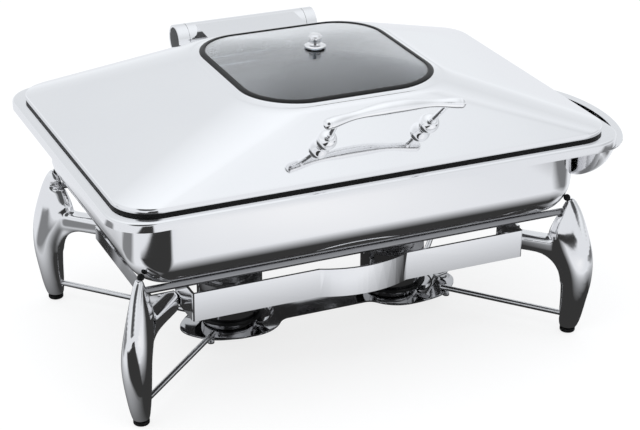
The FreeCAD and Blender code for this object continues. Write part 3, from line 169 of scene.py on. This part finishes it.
# the dark end of the studio, round the camera
to_camera = sky.add("ShaderNodeVectorMath", {"operation": "DOT_PRODUCT"},
                    {0: direction, 1: tuple(towards_camera)}, "Value")
dark_end = ((to_camera - 0.80) * 9.0).kept() * 0.9
level = (1.0 - wall_shade) * (1.0 - dark_end)
path = "ShaderNodeLightPath"
seen = sky.add(path, {}, {}, "Is Camera Ray").larger(sky.add(path, {}, {}, "Is Transmission Ray"))
tinted = sky.add("ShaderNodeVectorMath", {"operation": "MULTIPLY"}, {0: band, 1: sky_tint})
dimmed = sky.add("ShaderNodeVectorMath", {"operation": "SCALE"}, {0: tinted, "Scale": level})
shown = sky.add("ShaderNodeMix", {"data_type": "RGBA"}, {0: seen, 6: dimmed, 7: grey(1.0)}, 2)
light = sky.add("ShaderNodeBackground", {}, {"Color": shown, "Strength": 1.0})
sky.add("ShaderNodeOutputWorld", {}, {"Surface": light})

floor_reach = 6.0
floor_below_feet = 0.0005
floor_mesh = bpy.data.meshes.new("floor")
slab = bmesh.new()
bmesh.ops.create_grid(slab, x_segments=1, y_segments=1, size=floor_reach)
slab.to_mesh(floor_mesh)
slab.free()
floor = bpy.data.objects.new("floor", floor_mesh)
floor.location = (0.0, 0.0, -floor_below_feet)
scene.collection.objects.link(floor)
ground = Finish(bpy.data.materials.new("floor"))
spot = ground.add("ShaderNodeTexCoord", {}, {}, "Object")
floor_x = ground.add("ShaderNodeSeparateXYZ", {}, {"Vector": spot}, "X")
floor_y = ground.add("ShaderNodeSeparateXYZ", {}, {"Vector": spot}, "Y")


def floor_patch(left, right, front, back, blur):
    """One on a rectangle of the floor, nought elsewhere, with a soft edge."""
    across = ((right - left) * 0.5 - (floor_x - (left + right) * 0.5).size()) * (1.0 / blur) + 0.5
    along = ((back - front) * 0.5 - (floor_y - (front + back) * 0.5).size()) * (1.0 / blur) + 0.5
    return across.kept() * along.kept()


# dark patches painted on the floor, seen only in reflections: painted shade under the dish, and painted
# dark reflections beside the camera, on the right and beside the rear leg
painted_shade_under_dish = floor_patch(-0.34, 0.46, -0.32, 0.36, 0.18)
painted_dark_beside_camera = floor_patch(-0.60, -0.21, -1.30, -0.19, 0.05)
painted_dark_behind_right = floor_patch(0.38, 0.80, 0.22, 0.85, 0.10)
painted_dark_beside_rear_leg = floor_patch(-0.95, -0.40, -0.02, 0.26, 0.08) * 0.75
front_right = floor_patch(0.54, 1.00, -0.66, -0.10, 0.14) * 0.8
painted_dark_patches = painted_shade_under_dish.larger(front_right).larger(painted_dark_beside_camera)
painted_dark_patches = painted_dark_patches.larger(painted_dark_behind_right).larger(painted_dark_beside_rear_leg)
# a pool of painted light on the floor, seen only in reflections
painted_light_pool = floor_patch(-0.03, 0.27, -0.85, -0.45, 0.25)
glossy = ground.add(path, {}, {}, "Is Glossy Ray")
camera_ray = ground.add(path, {}, {}, "Is Camera Ray")
through = ground.add(path, {}, {}, "Is Transmission Ray")
# the floor lights the dish as plain paper, and glows towards the camera to come out nearly white
plain = ground.add("ShaderNodeBsdfDiffuse", {}, {"Color": grey(0.82)})
pale = ground.add("ShaderNodeBsdfDiffuse", {}, {"Color": grey(0.27)})
glow = ground.add("ShaderNodeEmission", {}, {"Color": grey(1.0), "Strength": 0.80})
lit = ground.add("ShaderNodeAddShader", {}, {0: pale, 1: glow})
seen_floor = ground.add("ShaderNodeMixShader", {}, {0: camera_ray.larger(through), 1: plain, 2: lit})
# what metal mirrors: bare floor, the painted lighter pool and the painted dark patches
bare_tone = (0.855, 0.875, 0.91, 1.0)
painted_light_tone = (1.0, 1.01, 1.03, 1.0)
painted_dark_tone = grey(0.04)
bare_or_painted_pool_tone = ground.add("ShaderNodeMix", {"data_type": "RGBA"},
                       {0: painted_light_pool, 6: bare_tone, 7: painted_light_tone}, 2)
painted_reflection_tone = ground.add("ShaderNodeMix", {"data_type": "RGBA"},
                        {0: painted_dark_patches, 6: bare_or_painted_pool_tone, 7: painted_dark_tone}, 2)
painted_floor_reflection = ground.add("ShaderNodeEmission", {}, {"Color": painted_reflection_tone, "Strength": 1.0})
floor_face = ground.add("ShaderNodeMixShader", {}, {0: glossy, 1: seen_floor, 2: painted_floor_reflection})
ground.add("ShaderNodeOutputMaterial", {}, {"Surface": floor_face})
floor_mesh.materials.append(ground.owner)


def soft_lamp(name, place, size, power):
    lamp_data = bpy.data.lights.new(name, "AREA")
    lamp_data.shape = "RECTANGLE"
    lamp_data.size = size[0]
    lamp_data.size_y = size[1]
    lamp_data.energy = power
    lamp = bpy.data.objects.new(name, lamp_data)
    lamp.location = place
    lamp.rotation_euler = (lamp_aim - Vector(place)).to_track_quat("-Z", "Y").to_euler()
    lamp.visible_glossy = False
    scene.collection.objects.link(lamp)


lamp_aim = Vector((0, 0, 0.15))
soft_lamp("top_lamp", place=(-0.4, -0.6, 2.2), size=(1.8, 1.4), power=12.0)


# Legs: four cast tusks of polished steel, each with an arm that the rails are screwed to.
# The casting's corners are soft, and its surface is mirror bright.

def steel(name, shade, roughness):
    """Polished stainless steel: faint clouds from the polishing wheel and a fine ripple."""
    haze = 0.02
    ripple = 0.02
    finish = Finish(bpy.data.materials.new(name))
    place = finish.add("ShaderNodeTexCoord", {}, {}, "Object")
    cloud = finish.add("ShaderNodeTexNoise", {}, {"Vector": place, "Scale": 14.0, "Detail": 3.0})
    fine = finish.add("ShaderNodeTexNoise", {}, {"Vector": place, "Scale": 420.0, "Detail": 2.0})
    bumps = finish.add("ShaderNodeBump", {}, {"Height": fine, "Strength": ripple, "Distance": 0.0002},
                       "Normal")
    colour = finish.add("ShaderNodeMix", {"data_type": "RGBA"},
                        {0: cloud, 6: grey(shade * 0.97, 0.012), 7: grey(shade, 0.006)}, 2)
    shader = finish.add("ShaderNodeBsdfPrincipled", {},
                        {"Base Color": colour, "Metallic": 1.0,
                         "Roughness": cloud * haze + (roughness - haze * 0.5), "Normal": bumps})
    finish.add("ShaderNodeOutputMaterial", {}, {"Surface": shader})
    return finish.owner


def show(mesh, name, body, look, stands_for):
    """Object for a finished mesh, riding on its body in place of its CAD nodes."""
    mesh.materials.clear()
    mesh.materials.append(look)
    piece = bpy.data.objects.new(name, mesh)
    scene.collection.objects.link(piece)
    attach(piece, body)
    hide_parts(*stands_for)
    return piece


def merged_copy(label):
    """Copy of a CAD node's mesh whose loose triangles are joined up."""
    same_point = 0.00001
    mesh = nodes[label].data.copy()
    mesh.name = label + "_skin"
    shape = bmesh.new()
    shape.from_mesh(mesh)
    bmesh.ops.remove_doubles(shape, verts=shape.verts[:], dist=same_point)
    shape.to_mesh(mesh)
    shape.free()
    return mesh


def cast_copy(label, look, grain, rounds):
    """CAD piece with the soft corners of a casting: remade in cells of one grain, then smoothed."""
    mesh = merged_copy(label)
    mesh.shade_smooth()
    piece = show(mesh, label + "_skin", nodes[label]["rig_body"], look, [label])
    even = piece.modifiers.new("even", "REMESH")
    even.mode = "VOXEL"
    even.voxel_size = grain
    even.use_smooth_shade = True
    soft = piece.modifiers.new("soft", "SMOOTH")
    soft.factor = 0.5
    soft.iterations = rounds


def smooth_copy(label, look):
    """CAD piece with its curved faces shaded smooth and its corners left crisp."""
    crisp_from = 32.0
    mesh = merged_copy(label)
    mesh.shade_smooth()
    mesh.set_sharp_from_angle(angle=math.radians(crisp_from))
    piece = show(mesh, label + "_skin", nodes[label]["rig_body"], look, [label])
    even = piece.modifiers.new("even", "WEIGHTED_NORMAL")
    even.keep_sharp = True


cast_steel = steel("cast leg steel", 0.86, 0.06)
leg_corners = ("front_left", "front_right", "rear_left", "rear_right")
for corner in leg_corners:
    cast_copy("leg_" + corner, cast_steel, grain=0.0012, rounds=36)


# Feet and leg tips: black rubber, moulded, pushed on and let into the castings.
# The rubber is matt with a fine grain.

def rubber(name, shade, roughness=0.42):
    finish = Finish(bpy.data.materials.new(name))
    place = finish.add("ShaderNodeTexCoord", {}, {}, "Object")
    grain = finish.add("ShaderNodeTexNoise", {}, {"Vector": place, "Scale": 900.0, "Detail": 3.0})
    bumps = finish.add("ShaderNodeBump", {}, {"Height": grain, "Strength": 0.15, "Distance": 0.0003},
                       "Normal")
    colour = finish.add("ShaderNodeMix", {"data_type": "RGBA"},
                        {0: grain, 6: grey(shade * 0.8), 7: grey(shade * 1.2)}, 2)
    shader = finish.add("ShaderNodeBsdfPrincipled", {},
                        {"Base Color": colour, "Roughness": grain * 0.1 + roughness,
                         "Specular IOR Level": 0.15, "Normal": bumps})
    finish.add("ShaderNodeOutputMaterial", {}, {"Surface": shader})
    return finish.owner


black_rubber = rubber("black rubber", 0.012)
smooth_copy("foot_pads", black_rubber)
smooth_copy("tip_bumpers", black_rubber)


# Rails: flat strips of polished steel, bowed in the middle, with their ends turned back.
# Round-headed screws of satin steel hold them to the leg arms.

rail_steel = steel("rail steel", 0.9, 0.08)
satin_steel = steel("satin screw steel", 0.62, 0.28)
for side in ("front", "rear", "left", "right"):
    smooth_copy("rail_" + side, rail_steel)
smooth_copy("rail_screws", satin_steel)


# Rods: two straight round bars under the pan and four braces from the shelf to the legs.
# They are drawn steel: the braces are a little duller than the castings, and the bars are a little
# rougher and painted much darker, as painted shade under the pan. Screws of satin steel hold the
# braces.

rod_steel = steel("drawn rod steel", 0.7, 0.16)
for corner in leg_corners:
    smooth_copy("brace_rod_" + corner, rod_steel)
# the bars under the pan: painted shade, much darker than the braces
painted_dark_rod_steel = steel("rod steel painted dark", 0.3, 0.2)
for side in ("front", "rear"):
    smooth_copy("support_rod_" + side, painted_dark_rod_steel)
smooth_copy("brace_screws", satin_steel)


# Burner shelf: laser-cut steel sheet, mirror bright, with a round lobe under each fuel cup.
# The four brace rods hold it by its corners.

# the shelf's steel is painted dark, a painted reflection of the pan's dark underside above it
shelf_steel_painted_dark = steel("shelf steel painted dark", 0.5, 0.05)
smooth_copy("burner_shelf", shelf_steel_painted_dark)


# Fuel cups: spun steel with a rubber ring in a groove, a carrying loop, a push-on cover
# and a damper plate that swings over the flame hole.

def turned_piece(name, outline, centre, body, look, stands_for, sharp=30.0):
    """Piece spun about the upright line through centre, from radius and height pairs in metres."""
    shape = bmesh.new()
    corners = [shape.verts.new((radius, 0.0, rise)) for radius, rise in outline]
    edges = [shape.edges.new(pair) for pair in zip(corners, corners[1:])]
    bmesh.ops.spin(shape, geom=corners + edges, cent=(0, 0, 0), axis=(0, 0, 1), dvec=(0, 0, 0),
                   angle=math.tau, steps=96, use_merge=True)
    bmesh.ops.remove_doubles(shape, verts=shape.verts[:], dist=0.000005)
    bmesh.ops.recalc_face_normals(shape, faces=shape.faces[:])
    bmesh.ops.translate(shape, vec=centre, verts=shape.verts[:])
    mesh = bpy.data.meshes.new(name)
    shape.to_mesh(mesh)
    shape.free()
    mesh.shade_smooth()
    mesh.set_sharp_from_angle(angle=math.radians(sharp))
    show(mesh, name, body, look, stands_for)


def rounded_profile(outline, radius, chosen):
    """The outline with each chosen corner cut twice, as a small round."""
    smooth = []
    for index, point in enumerate(outline):
        if index not in chosen:
            smooth.append(point)
            continue
        here = Vector(point)
        before = (Vector(outline[index - 1]) - here).normalized()
        after = (Vector(outline[index + 1]) - here).normalized()
        for share_before, share_after in ((1.0, 0.0), (0.42, 0.12), (0.12, 0.42), (0.0, 1.0)):
            smooth.append(tuple(here + before * radius * share_before + after * radius * share_after))
    return smooth


# the cups, covers, loops and dampers are in steel painted dark, a painted dark reflection
cup_steel_painted_dark = steel("spun cup steel painted dark", 0.48, 0.10)
foot = 0.0182
cup_top = 0.0782
# the cup: out along its bottom, up the outside, over the lip and back down the inside
cup_wall = [(0.0, foot), (0.031, foot), (0.0345, foot + 0.013), (0.0345, foot + 0.0156),
            (0.037, foot + 0.0156), (0.037, cup_top), (0.036, cup_top), (0.036, foot + 0.0166),
            (0.0335, foot + 0.0166), (0.0335, foot + 0.013), (0.030, foot + 0.001),
            (0.0, foot + 0.001)]
corner_round = 0.0008
rounded_corners = (1, 4)
ring_low = foot + 0.0131
cup_ring = [(0.03455, ring_low), (0.0412, ring_low), (0.0415, ring_low + 0.0008),
            (0.0415, ring_low + 0.0016), (0.0412, ring_low + 0.0024), (0.03455, ring_low + 0.0024),
            (0.03455, ring_low)]
for side, cup_x in (("left", -0.105), ("right", 0.105)):
    centre = (cup_x, -0.010, 0.0)
    turned_piece("cup_%s_skin" % side, rounded_profile(cup_wall, corner_round, rounded_corners),
                 centre, "fuel_" + side, cup_steel_painted_dark, ["cup_" + side])
    turned_piece("cup_ring_%s_skin" % side, cup_ring, centre, "fuel_" + side, black_rubber,
                 ["cup_ring_" + side], sharp=60.0)
    smooth_copy("cup_cover_" + side, cup_steel_painted_dark)
    smooth_copy("cup_loop_" + side, cup_steel_painted_dark)
    smooth_copy("damper_" + side, cup_steel_painted_dark)


# Water pan: deep-drawn steel well under a flat deck, whose rim is turned down all round.
# The well has an upright wall, a wide bend round its bottom and large corners.

def rounded_loop(shape, half_length, half_depth, corner, height, forward=0.0):
    """Edge loop of a rounded rectangle: a square whose corners are bevelled."""
    before = set(shape.verts)
    made = bmesh.ops.create_grid(shape, x_segments=1, y_segments=1, size=1.0)
    corners = made["verts"]
    bmesh.ops.scale(shape, vec=(half_length, half_depth, 1.0), verts=corners)
    bmesh.ops.translate(shape, vec=(0.0, -forward, height), verts=corners)
    bmesh.ops.bevel(shape, geom=corners, offset=corner, offset_type="OFFSET", affect="VERTICES",
                    segments=14, profile=0.5, material=-1)
    ring = [vert for vert in shape.verts if vert not in before]
    sides = sorted({edge for vert in ring for edge in vert.link_edges},
                   key=lambda edge: -edge.calc_length())[:4]
    bmesh.ops.subdivide_edges(shape, edges=sides, cuts=10)
    faces = [face for face in shape.faces if face.is_valid and not (set(face.verts) & before)]
    # the bevelled square is one face with a hundred corners, and only its edges are wanted
    loops = [face for face in faces if len(face.verts) > 40]
    edges = list(loops[-1].edges)
    bmesh.ops.delete(shape, geom=[loops[-1]], context="FACES_ONLY")
    return edges


def bridge(shape, loops):
    """Faces between neighbouring loops, which stand apart in height while they are joined."""
    apart = 0.02
    rings = [{vert for edge in loop for vert in edge.verts} for loop in loops]
    for place, ring in enumerate(rings):
        bmesh.ops.translate(shape, vec=(0.0, 0.0, place * apart), verts=list(ring))
    for first, second in zip(loops, loops[1:]):
        bmesh.ops.bridge_loops(shape, edges=first + second)
    for place, ring in enumerate(rings):
        bmesh.ops.translate(shape, vec=(0.0, 0.0, -place * apart), verts=list(ring))


def close_loop(shape, edges):
    bmesh.ops.contextual_create(shape, geom=edges)


def sheet_piece(shape, name, thickness, body, look, stands_for, sharp=25.0):
    """A sheet: the bridged outside surface, thickened inwards."""
    bmesh.ops.recalc_face_normals(shape, faces=shape.faces[:])
    mesh = bpy.data.meshes.new(name)
    shape.to_mesh(mesh)
    shape.free()
    mesh.shade_smooth()
    mesh.set_sharp_from_angle(angle=math.radians(sharp))
    piece = show(mesh, name, body, look, stands_for)
    sheet = piece.modifiers.new("sheet", "SOLIDIFY")
    sheet.thickness = thickness
    sheet.offset = -1.0
    # the cut edge of the sheet is flat, so its shading stays apart from the faces beside it
    crisp = piece.modifiers.new("crisp", "EDGE_SPLIT")
    crisp.split_angle = math.radians(50)


pan_steel = steel("drawn pan steel", 0.88, 0.08)
pan_sheet = 0.0012
deck_top = 0.2575
rim_low = 0.2470
rim_half = (0.300, 0.210)
rim_corner = 0.045
rim_bend = 0.003
pan_shape = bmesh.new()
rim_loops = [rounded_loop(pan_shape, rim_half[0], rim_half[1], rim_corner, rim_low)]
for turn in range(7):
    angle = math.radians(15 * turn)
    inset = rim_bend * (1 - math.cos(angle))
    rim_loops.append(rounded_loop(pan_shape, rim_half[0] - inset, rim_half[1] - inset,
                                  rim_corner - inset, deck_top - rim_bend * (1 - math.sin(angle))))
# the deck falls by a fraction of a millimetre towards its opening
deck_edge = 0.290
deck_fall = 0.006
deck_rings = ((deck_edge, 0.200, 0.038), (0.281, 0.188, 0.0355), (0.272, 0.176, 0.033),
              (0.263, 0.164, 0.0305), (0.254, 0.152, 0.028))
for half_length, half_depth, corner in deck_rings:
    rim_loops.append(rounded_loop(pan_shape, half_length, half_depth, corner,
                                  deck_top - deck_fall * (deck_edge - half_length)))
bridge(pan_shape, rim_loops)
sheet_piece(pan_shape, "pan_rim", pan_sheet, "pan", pan_steel, ["water_pan"])

well_half = (0.268, 0.172)
well_corner = 0.046
well_top = 0.2562
well_middle = 0.2300
well_floor = 0.152
well_bend = 0.042
well_shape = bmesh.new()
well_loops = [rounded_loop(well_shape, well_half[0], well_half[1], well_corner, well_top),
              rounded_loop(well_shape, well_half[0], well_half[1], well_corner, well_middle)]
for turn in range(11):
    angle = math.radians(9 * turn)
    inset = well_bend * (1 - math.cos(angle))
    well_loops.append(rounded_loop(well_shape, well_half[0] - inset, well_half[1] - inset,
                                   well_corner - inset, well_floor + well_bend * (1 - math.sin(angle))))
bridge(well_shape, well_loops)
close_loop(well_shape, well_loops[-1])
sheet_piece(well_shape, "pan_well", pan_sheet, "pan", pan_steel, ["water_pan"], sharp=40.0)


# Spoon basin: half-moon bowl of thin drawn steel with a flat lip.
# Rivets hold it to the right-hand wall of the pan.

smooth_copy("spoon_basin", pan_steel)
smooth_copy("basin_rivets", satin_steel)


# Food pan: loose insert of thin, duller steel, drawn from one sheet.
# It hangs by its flange from the edge of the deck opening, and is seen through the window.

insert_steel = steel("food pan steel", 0.72, 0.22)
smooth_copy("food_pan", insert_steel)


# Lid seal: one flat ring of black rubber under the edge of the lid.
# It lies on the deck of the pan, and the shut lid rests on it.

smooth_copy("lid_seal", black_rubber)


# Hinge: a barrel welded to the lid's bracket turns on a shaft between two fixed sleeves.
# Brackets, barrel and sleeves are polished steel, the bushes bronze, the end caps black mouldings.
# Rivets hold one bracket to the pan, and screws hold the other to the lid.

for label in ("hinge_barrel", "hinge_sleeve_left", "hinge_sleeve_right", "hinge_pan_bracket",
              "hinge_lid_bracket"):
    smooth_copy(label, cast_steel)
for label in ("hinge_shaft", "hinge_rivets", "bracket_screws"):
    smooth_copy(label, satin_steel)
smooth_copy("hinge_end_caps", rubber("black cap moulding", 0.02, 0.3))
bronze = steel("bearing bronze", 0.5, 0.3)
smooth_copy("hinge_bushes", bronze)


# Lid: one pressed sheet. Four slopes rise from an upright edge to a shoulder, and a low
# pillow with the window hole closes the top. It is polished to a soft mirror.

lid_low = 0.2607
slope_foot = 0.2657
lid_half = (0.287, 0.197)
lid_corner = 0.042
lid_sheet = 0.0015
shoulder_top = 0.324
crown_top = 0.343
window_forward = 0.017
shoulder_half = (0.128, 0.129)
shoulder_corner = 0.062


def slope_loop(shape, share, lift=0.0):
    """Loop on the slopes, a share of the way from the edge of the lid to the shoulder."""
    return rounded_loop(shape, lid_half[0] + (shoulder_half[0] - lid_half[0]) * share,
                        lid_half[1] + (shoulder_half[1] - lid_half[1]) * share,
                        lid_corner + (shoulder_corner - lid_corner) * share,
                        slope_foot + (shoulder_top - slope_foot) * share + lift, window_forward * share)


def dome_height(x, y):
    """Height of the pillow over a point: it falls with the square of the way to the shoulder."""
    across = abs(x)
    along = abs(y + window_forward)
    run_x = shoulder_half[0] - shoulder_corner
    run_y = shoulder_half[1] - shoulder_corner
    share = max(across / shoulder_half[0], along / shoulder_half[1])
    if across > share * run_x and along > share * run_y:
        square = run_x ** 2 + run_y ** 2 - shoulder_corner ** 2
        middle = across * run_x + along * run_y
        share = (middle - math.sqrt(middle ** 2 - square * (across ** 2 + along ** 2))) / square
    return crown_top - (crown_top - shoulder_top) * share ** 2


def pillow_loop(shape, half_length, half_depth, corner, lift=0.0):
    """Rounded rectangle laid on the pillow of the lid."""
    edges = rounded_loop(shape, half_length, half_depth, corner, 0.0, window_forward)
    for vert in {vert for edge in edges for vert in edge.verts}:
        vert.co.z = dome_height(vert.co.x, vert.co.y) + lift
    return edges


lid_steel = steel("polished lid steel", 0.92, 0.05)
lid_shape = bmesh.new()
# the upright edge, the small bend above it, the slopes and the edge of the pillow
lid_loops = [rounded_loop(lid_shape, lid_half[0], lid_half[1], lid_corner, lid_low),
             rounded_loop(lid_shape, lid_half[0], lid_half[1], lid_corner, slope_foot - 0.0022),
             rounded_loop(lid_shape, 0.2868, 0.1968, 0.0418, slope_foot - 0.0008),
             slope_loop(lid_shape, 0.006, -0.0001)]
for share in (0.018, 0.04, 0.2, 0.4, 0.6, 0.8, 0.96, 0.985):
    lid_loops.append(slope_loop(lid_shape, share))
for share in (0.99, 0.97):
    lid_loops.append(pillow_loop(lid_shape, shoulder_half[0] * share, shoulder_half[1] * share,
                                 shoulder_corner * share))
# a shallow pressed step runs round the window, 6 to 8 mm outside the gasket, and the last loop
# is the edge of the window hole
step_loops = ((0.1215, 0.1235, 0.0610, 0.0), (0.1205, 0.1225, 0.0610, -0.0004),
              (0.1195, 0.1218, 0.0608, -0.0006), (0.1115, 0.1150, 0.0600, 0.0))
for half_length, half_depth, corner, lift in step_loops:
    lid_loops.append(pillow_loop(lid_shape, half_length, half_depth, corner, lift))
bridge(lid_shape, lid_loops)
sheet_piece(lid_shape, "lid_sheet", lid_sheet, "lid", lid_steel, ["lid_shell"], sharp=22.0)


# Window: domed grey glass, moulded to the curve of the lid's pillow.
# A black rubber gasket, moulded in one ring, grips the glass and the lid sheet.

gasket_half = (0.1135, 0.117)
gasket_corner = 0.062
# section of the gasket: distance inwards from its outer edge, and height over the pillow
gasket_section = ((0.0, -0.0012), (0.0002, 0.0004), (0.0012, 0.0010), (0.0035, 0.0012),
                  (0.0058, 0.0010), (0.0068, 0.0004), (0.0070, -0.0012), (0.0070, -0.0050),
                  (0.0035, -0.0052), (0.0, -0.0050))
gasket_shape = bmesh.new()
gasket_loops = []
for inset, lift in gasket_section:
    gasket_loops.append(pillow_loop(gasket_shape, gasket_half[0] - inset, gasket_half[1] - inset,
                                    gasket_corner - inset, lift))
bridge(gasket_shape, gasket_loops + gasket_loops[:1])
bmesh.ops.recalc_face_normals(gasket_shape, faces=gasket_shape.faces[:])
gasket_mesh = bpy.data.meshes.new("gasket_skin")
gasket_shape.to_mesh(gasket_mesh)
gasket_shape.free()
gasket_mesh.shade_smooth()
show(gasket_mesh, "gasket_skin", "lid", rubber("gasket rubber", 0.014, 0.3), ["window_gasket"])


def glass(name):
    """Grey glass under a clear coat whose strength grows towards the back: a painted reflection of the
    sky.
    """
    finish = Finish(bpy.data.materials.new(name))
    place = finish.add("ShaderNodeTexCoord", {}, {}, "Object")
    back = finish.add("ShaderNodeSeparateXYZ", {}, {"Vector": place}, "Y")
    cloud = finish.add("ShaderNodeTexNoise", {}, {"Vector": place, "Scale": 9.0, "Detail": 2.0})
    # painted reflection: the coat is stronger towards the back, with faint clouds
    coat = ((back + 0.09) * 6.0 + cloud * 0.4).kept()
    shader = finish.add("ShaderNodeBsdfPrincipled", {},
                        {"Base Color": (0.80, 0.86, 0.93, 1.0), "Roughness": 0.02,
                         "Transmission Weight": 1.0, "IOR": 1.75, "Coat Weight": coat,
                         "Coat IOR": 2.3, "Coat Roughness": 0.03})
    finish.add("ShaderNodeOutputMaterial", {}, {"Surface": shader})
    return finish.owner


pane_half = (0.1095, 0.113)
pane_corner = 0.058
pane_thickness = 0.004
pane_shape = bmesh.new()
pane_loops = []
for share in (1.0, 0.97, 0.9, 0.8, 0.7, 0.6, 0.5, 0.4, 0.3, 0.2, 0.1):
    pane_loops.append(pillow_loop(pane_shape, pane_half[0] * share, pane_half[1] * share,
                                  pane_corner * share))
bridge(pane_shape, pane_loops)
close_loop(pane_shape, pane_loops[-1])
sheet_piece(pane_shape, "window_pane", pane_thickness, "lid", glass("window glass"),
            ["window_glass"], sharp=60.0)


# Steam vent: body, cap and nut of turned and polished steel.
# The body is screwed through the glass between two rubber washers, and the cap turns on it.

for label in ("vent_body", "vent_cap", "vent_nut"):
    smooth_copy(label, cast_steel)
smooth_copy("vent_washers", black_rubber)


# Handle: cast steel bar on two curved necks, its steel painted lighter than the other pieces as a
# painted highlight.
# The necks rise from ball-shaped posts, which screws hold to the front slope from inside the lid.
# The remade mesh closes the bar's left end ball, which is inside out in the CAD solid.

# the handle's steel is painted lighter, a painted highlight
handle_steel_painted_light = steel("polished handle steel", 0.96, 0.05)
for label in ("handle_bar", "handle_post_left", "handle_post_right"):
    cast_copy(label, handle_steel_painted_light, grain=0.0006, rounds=6)
smooth_copy("handle_screws", satin_steel)
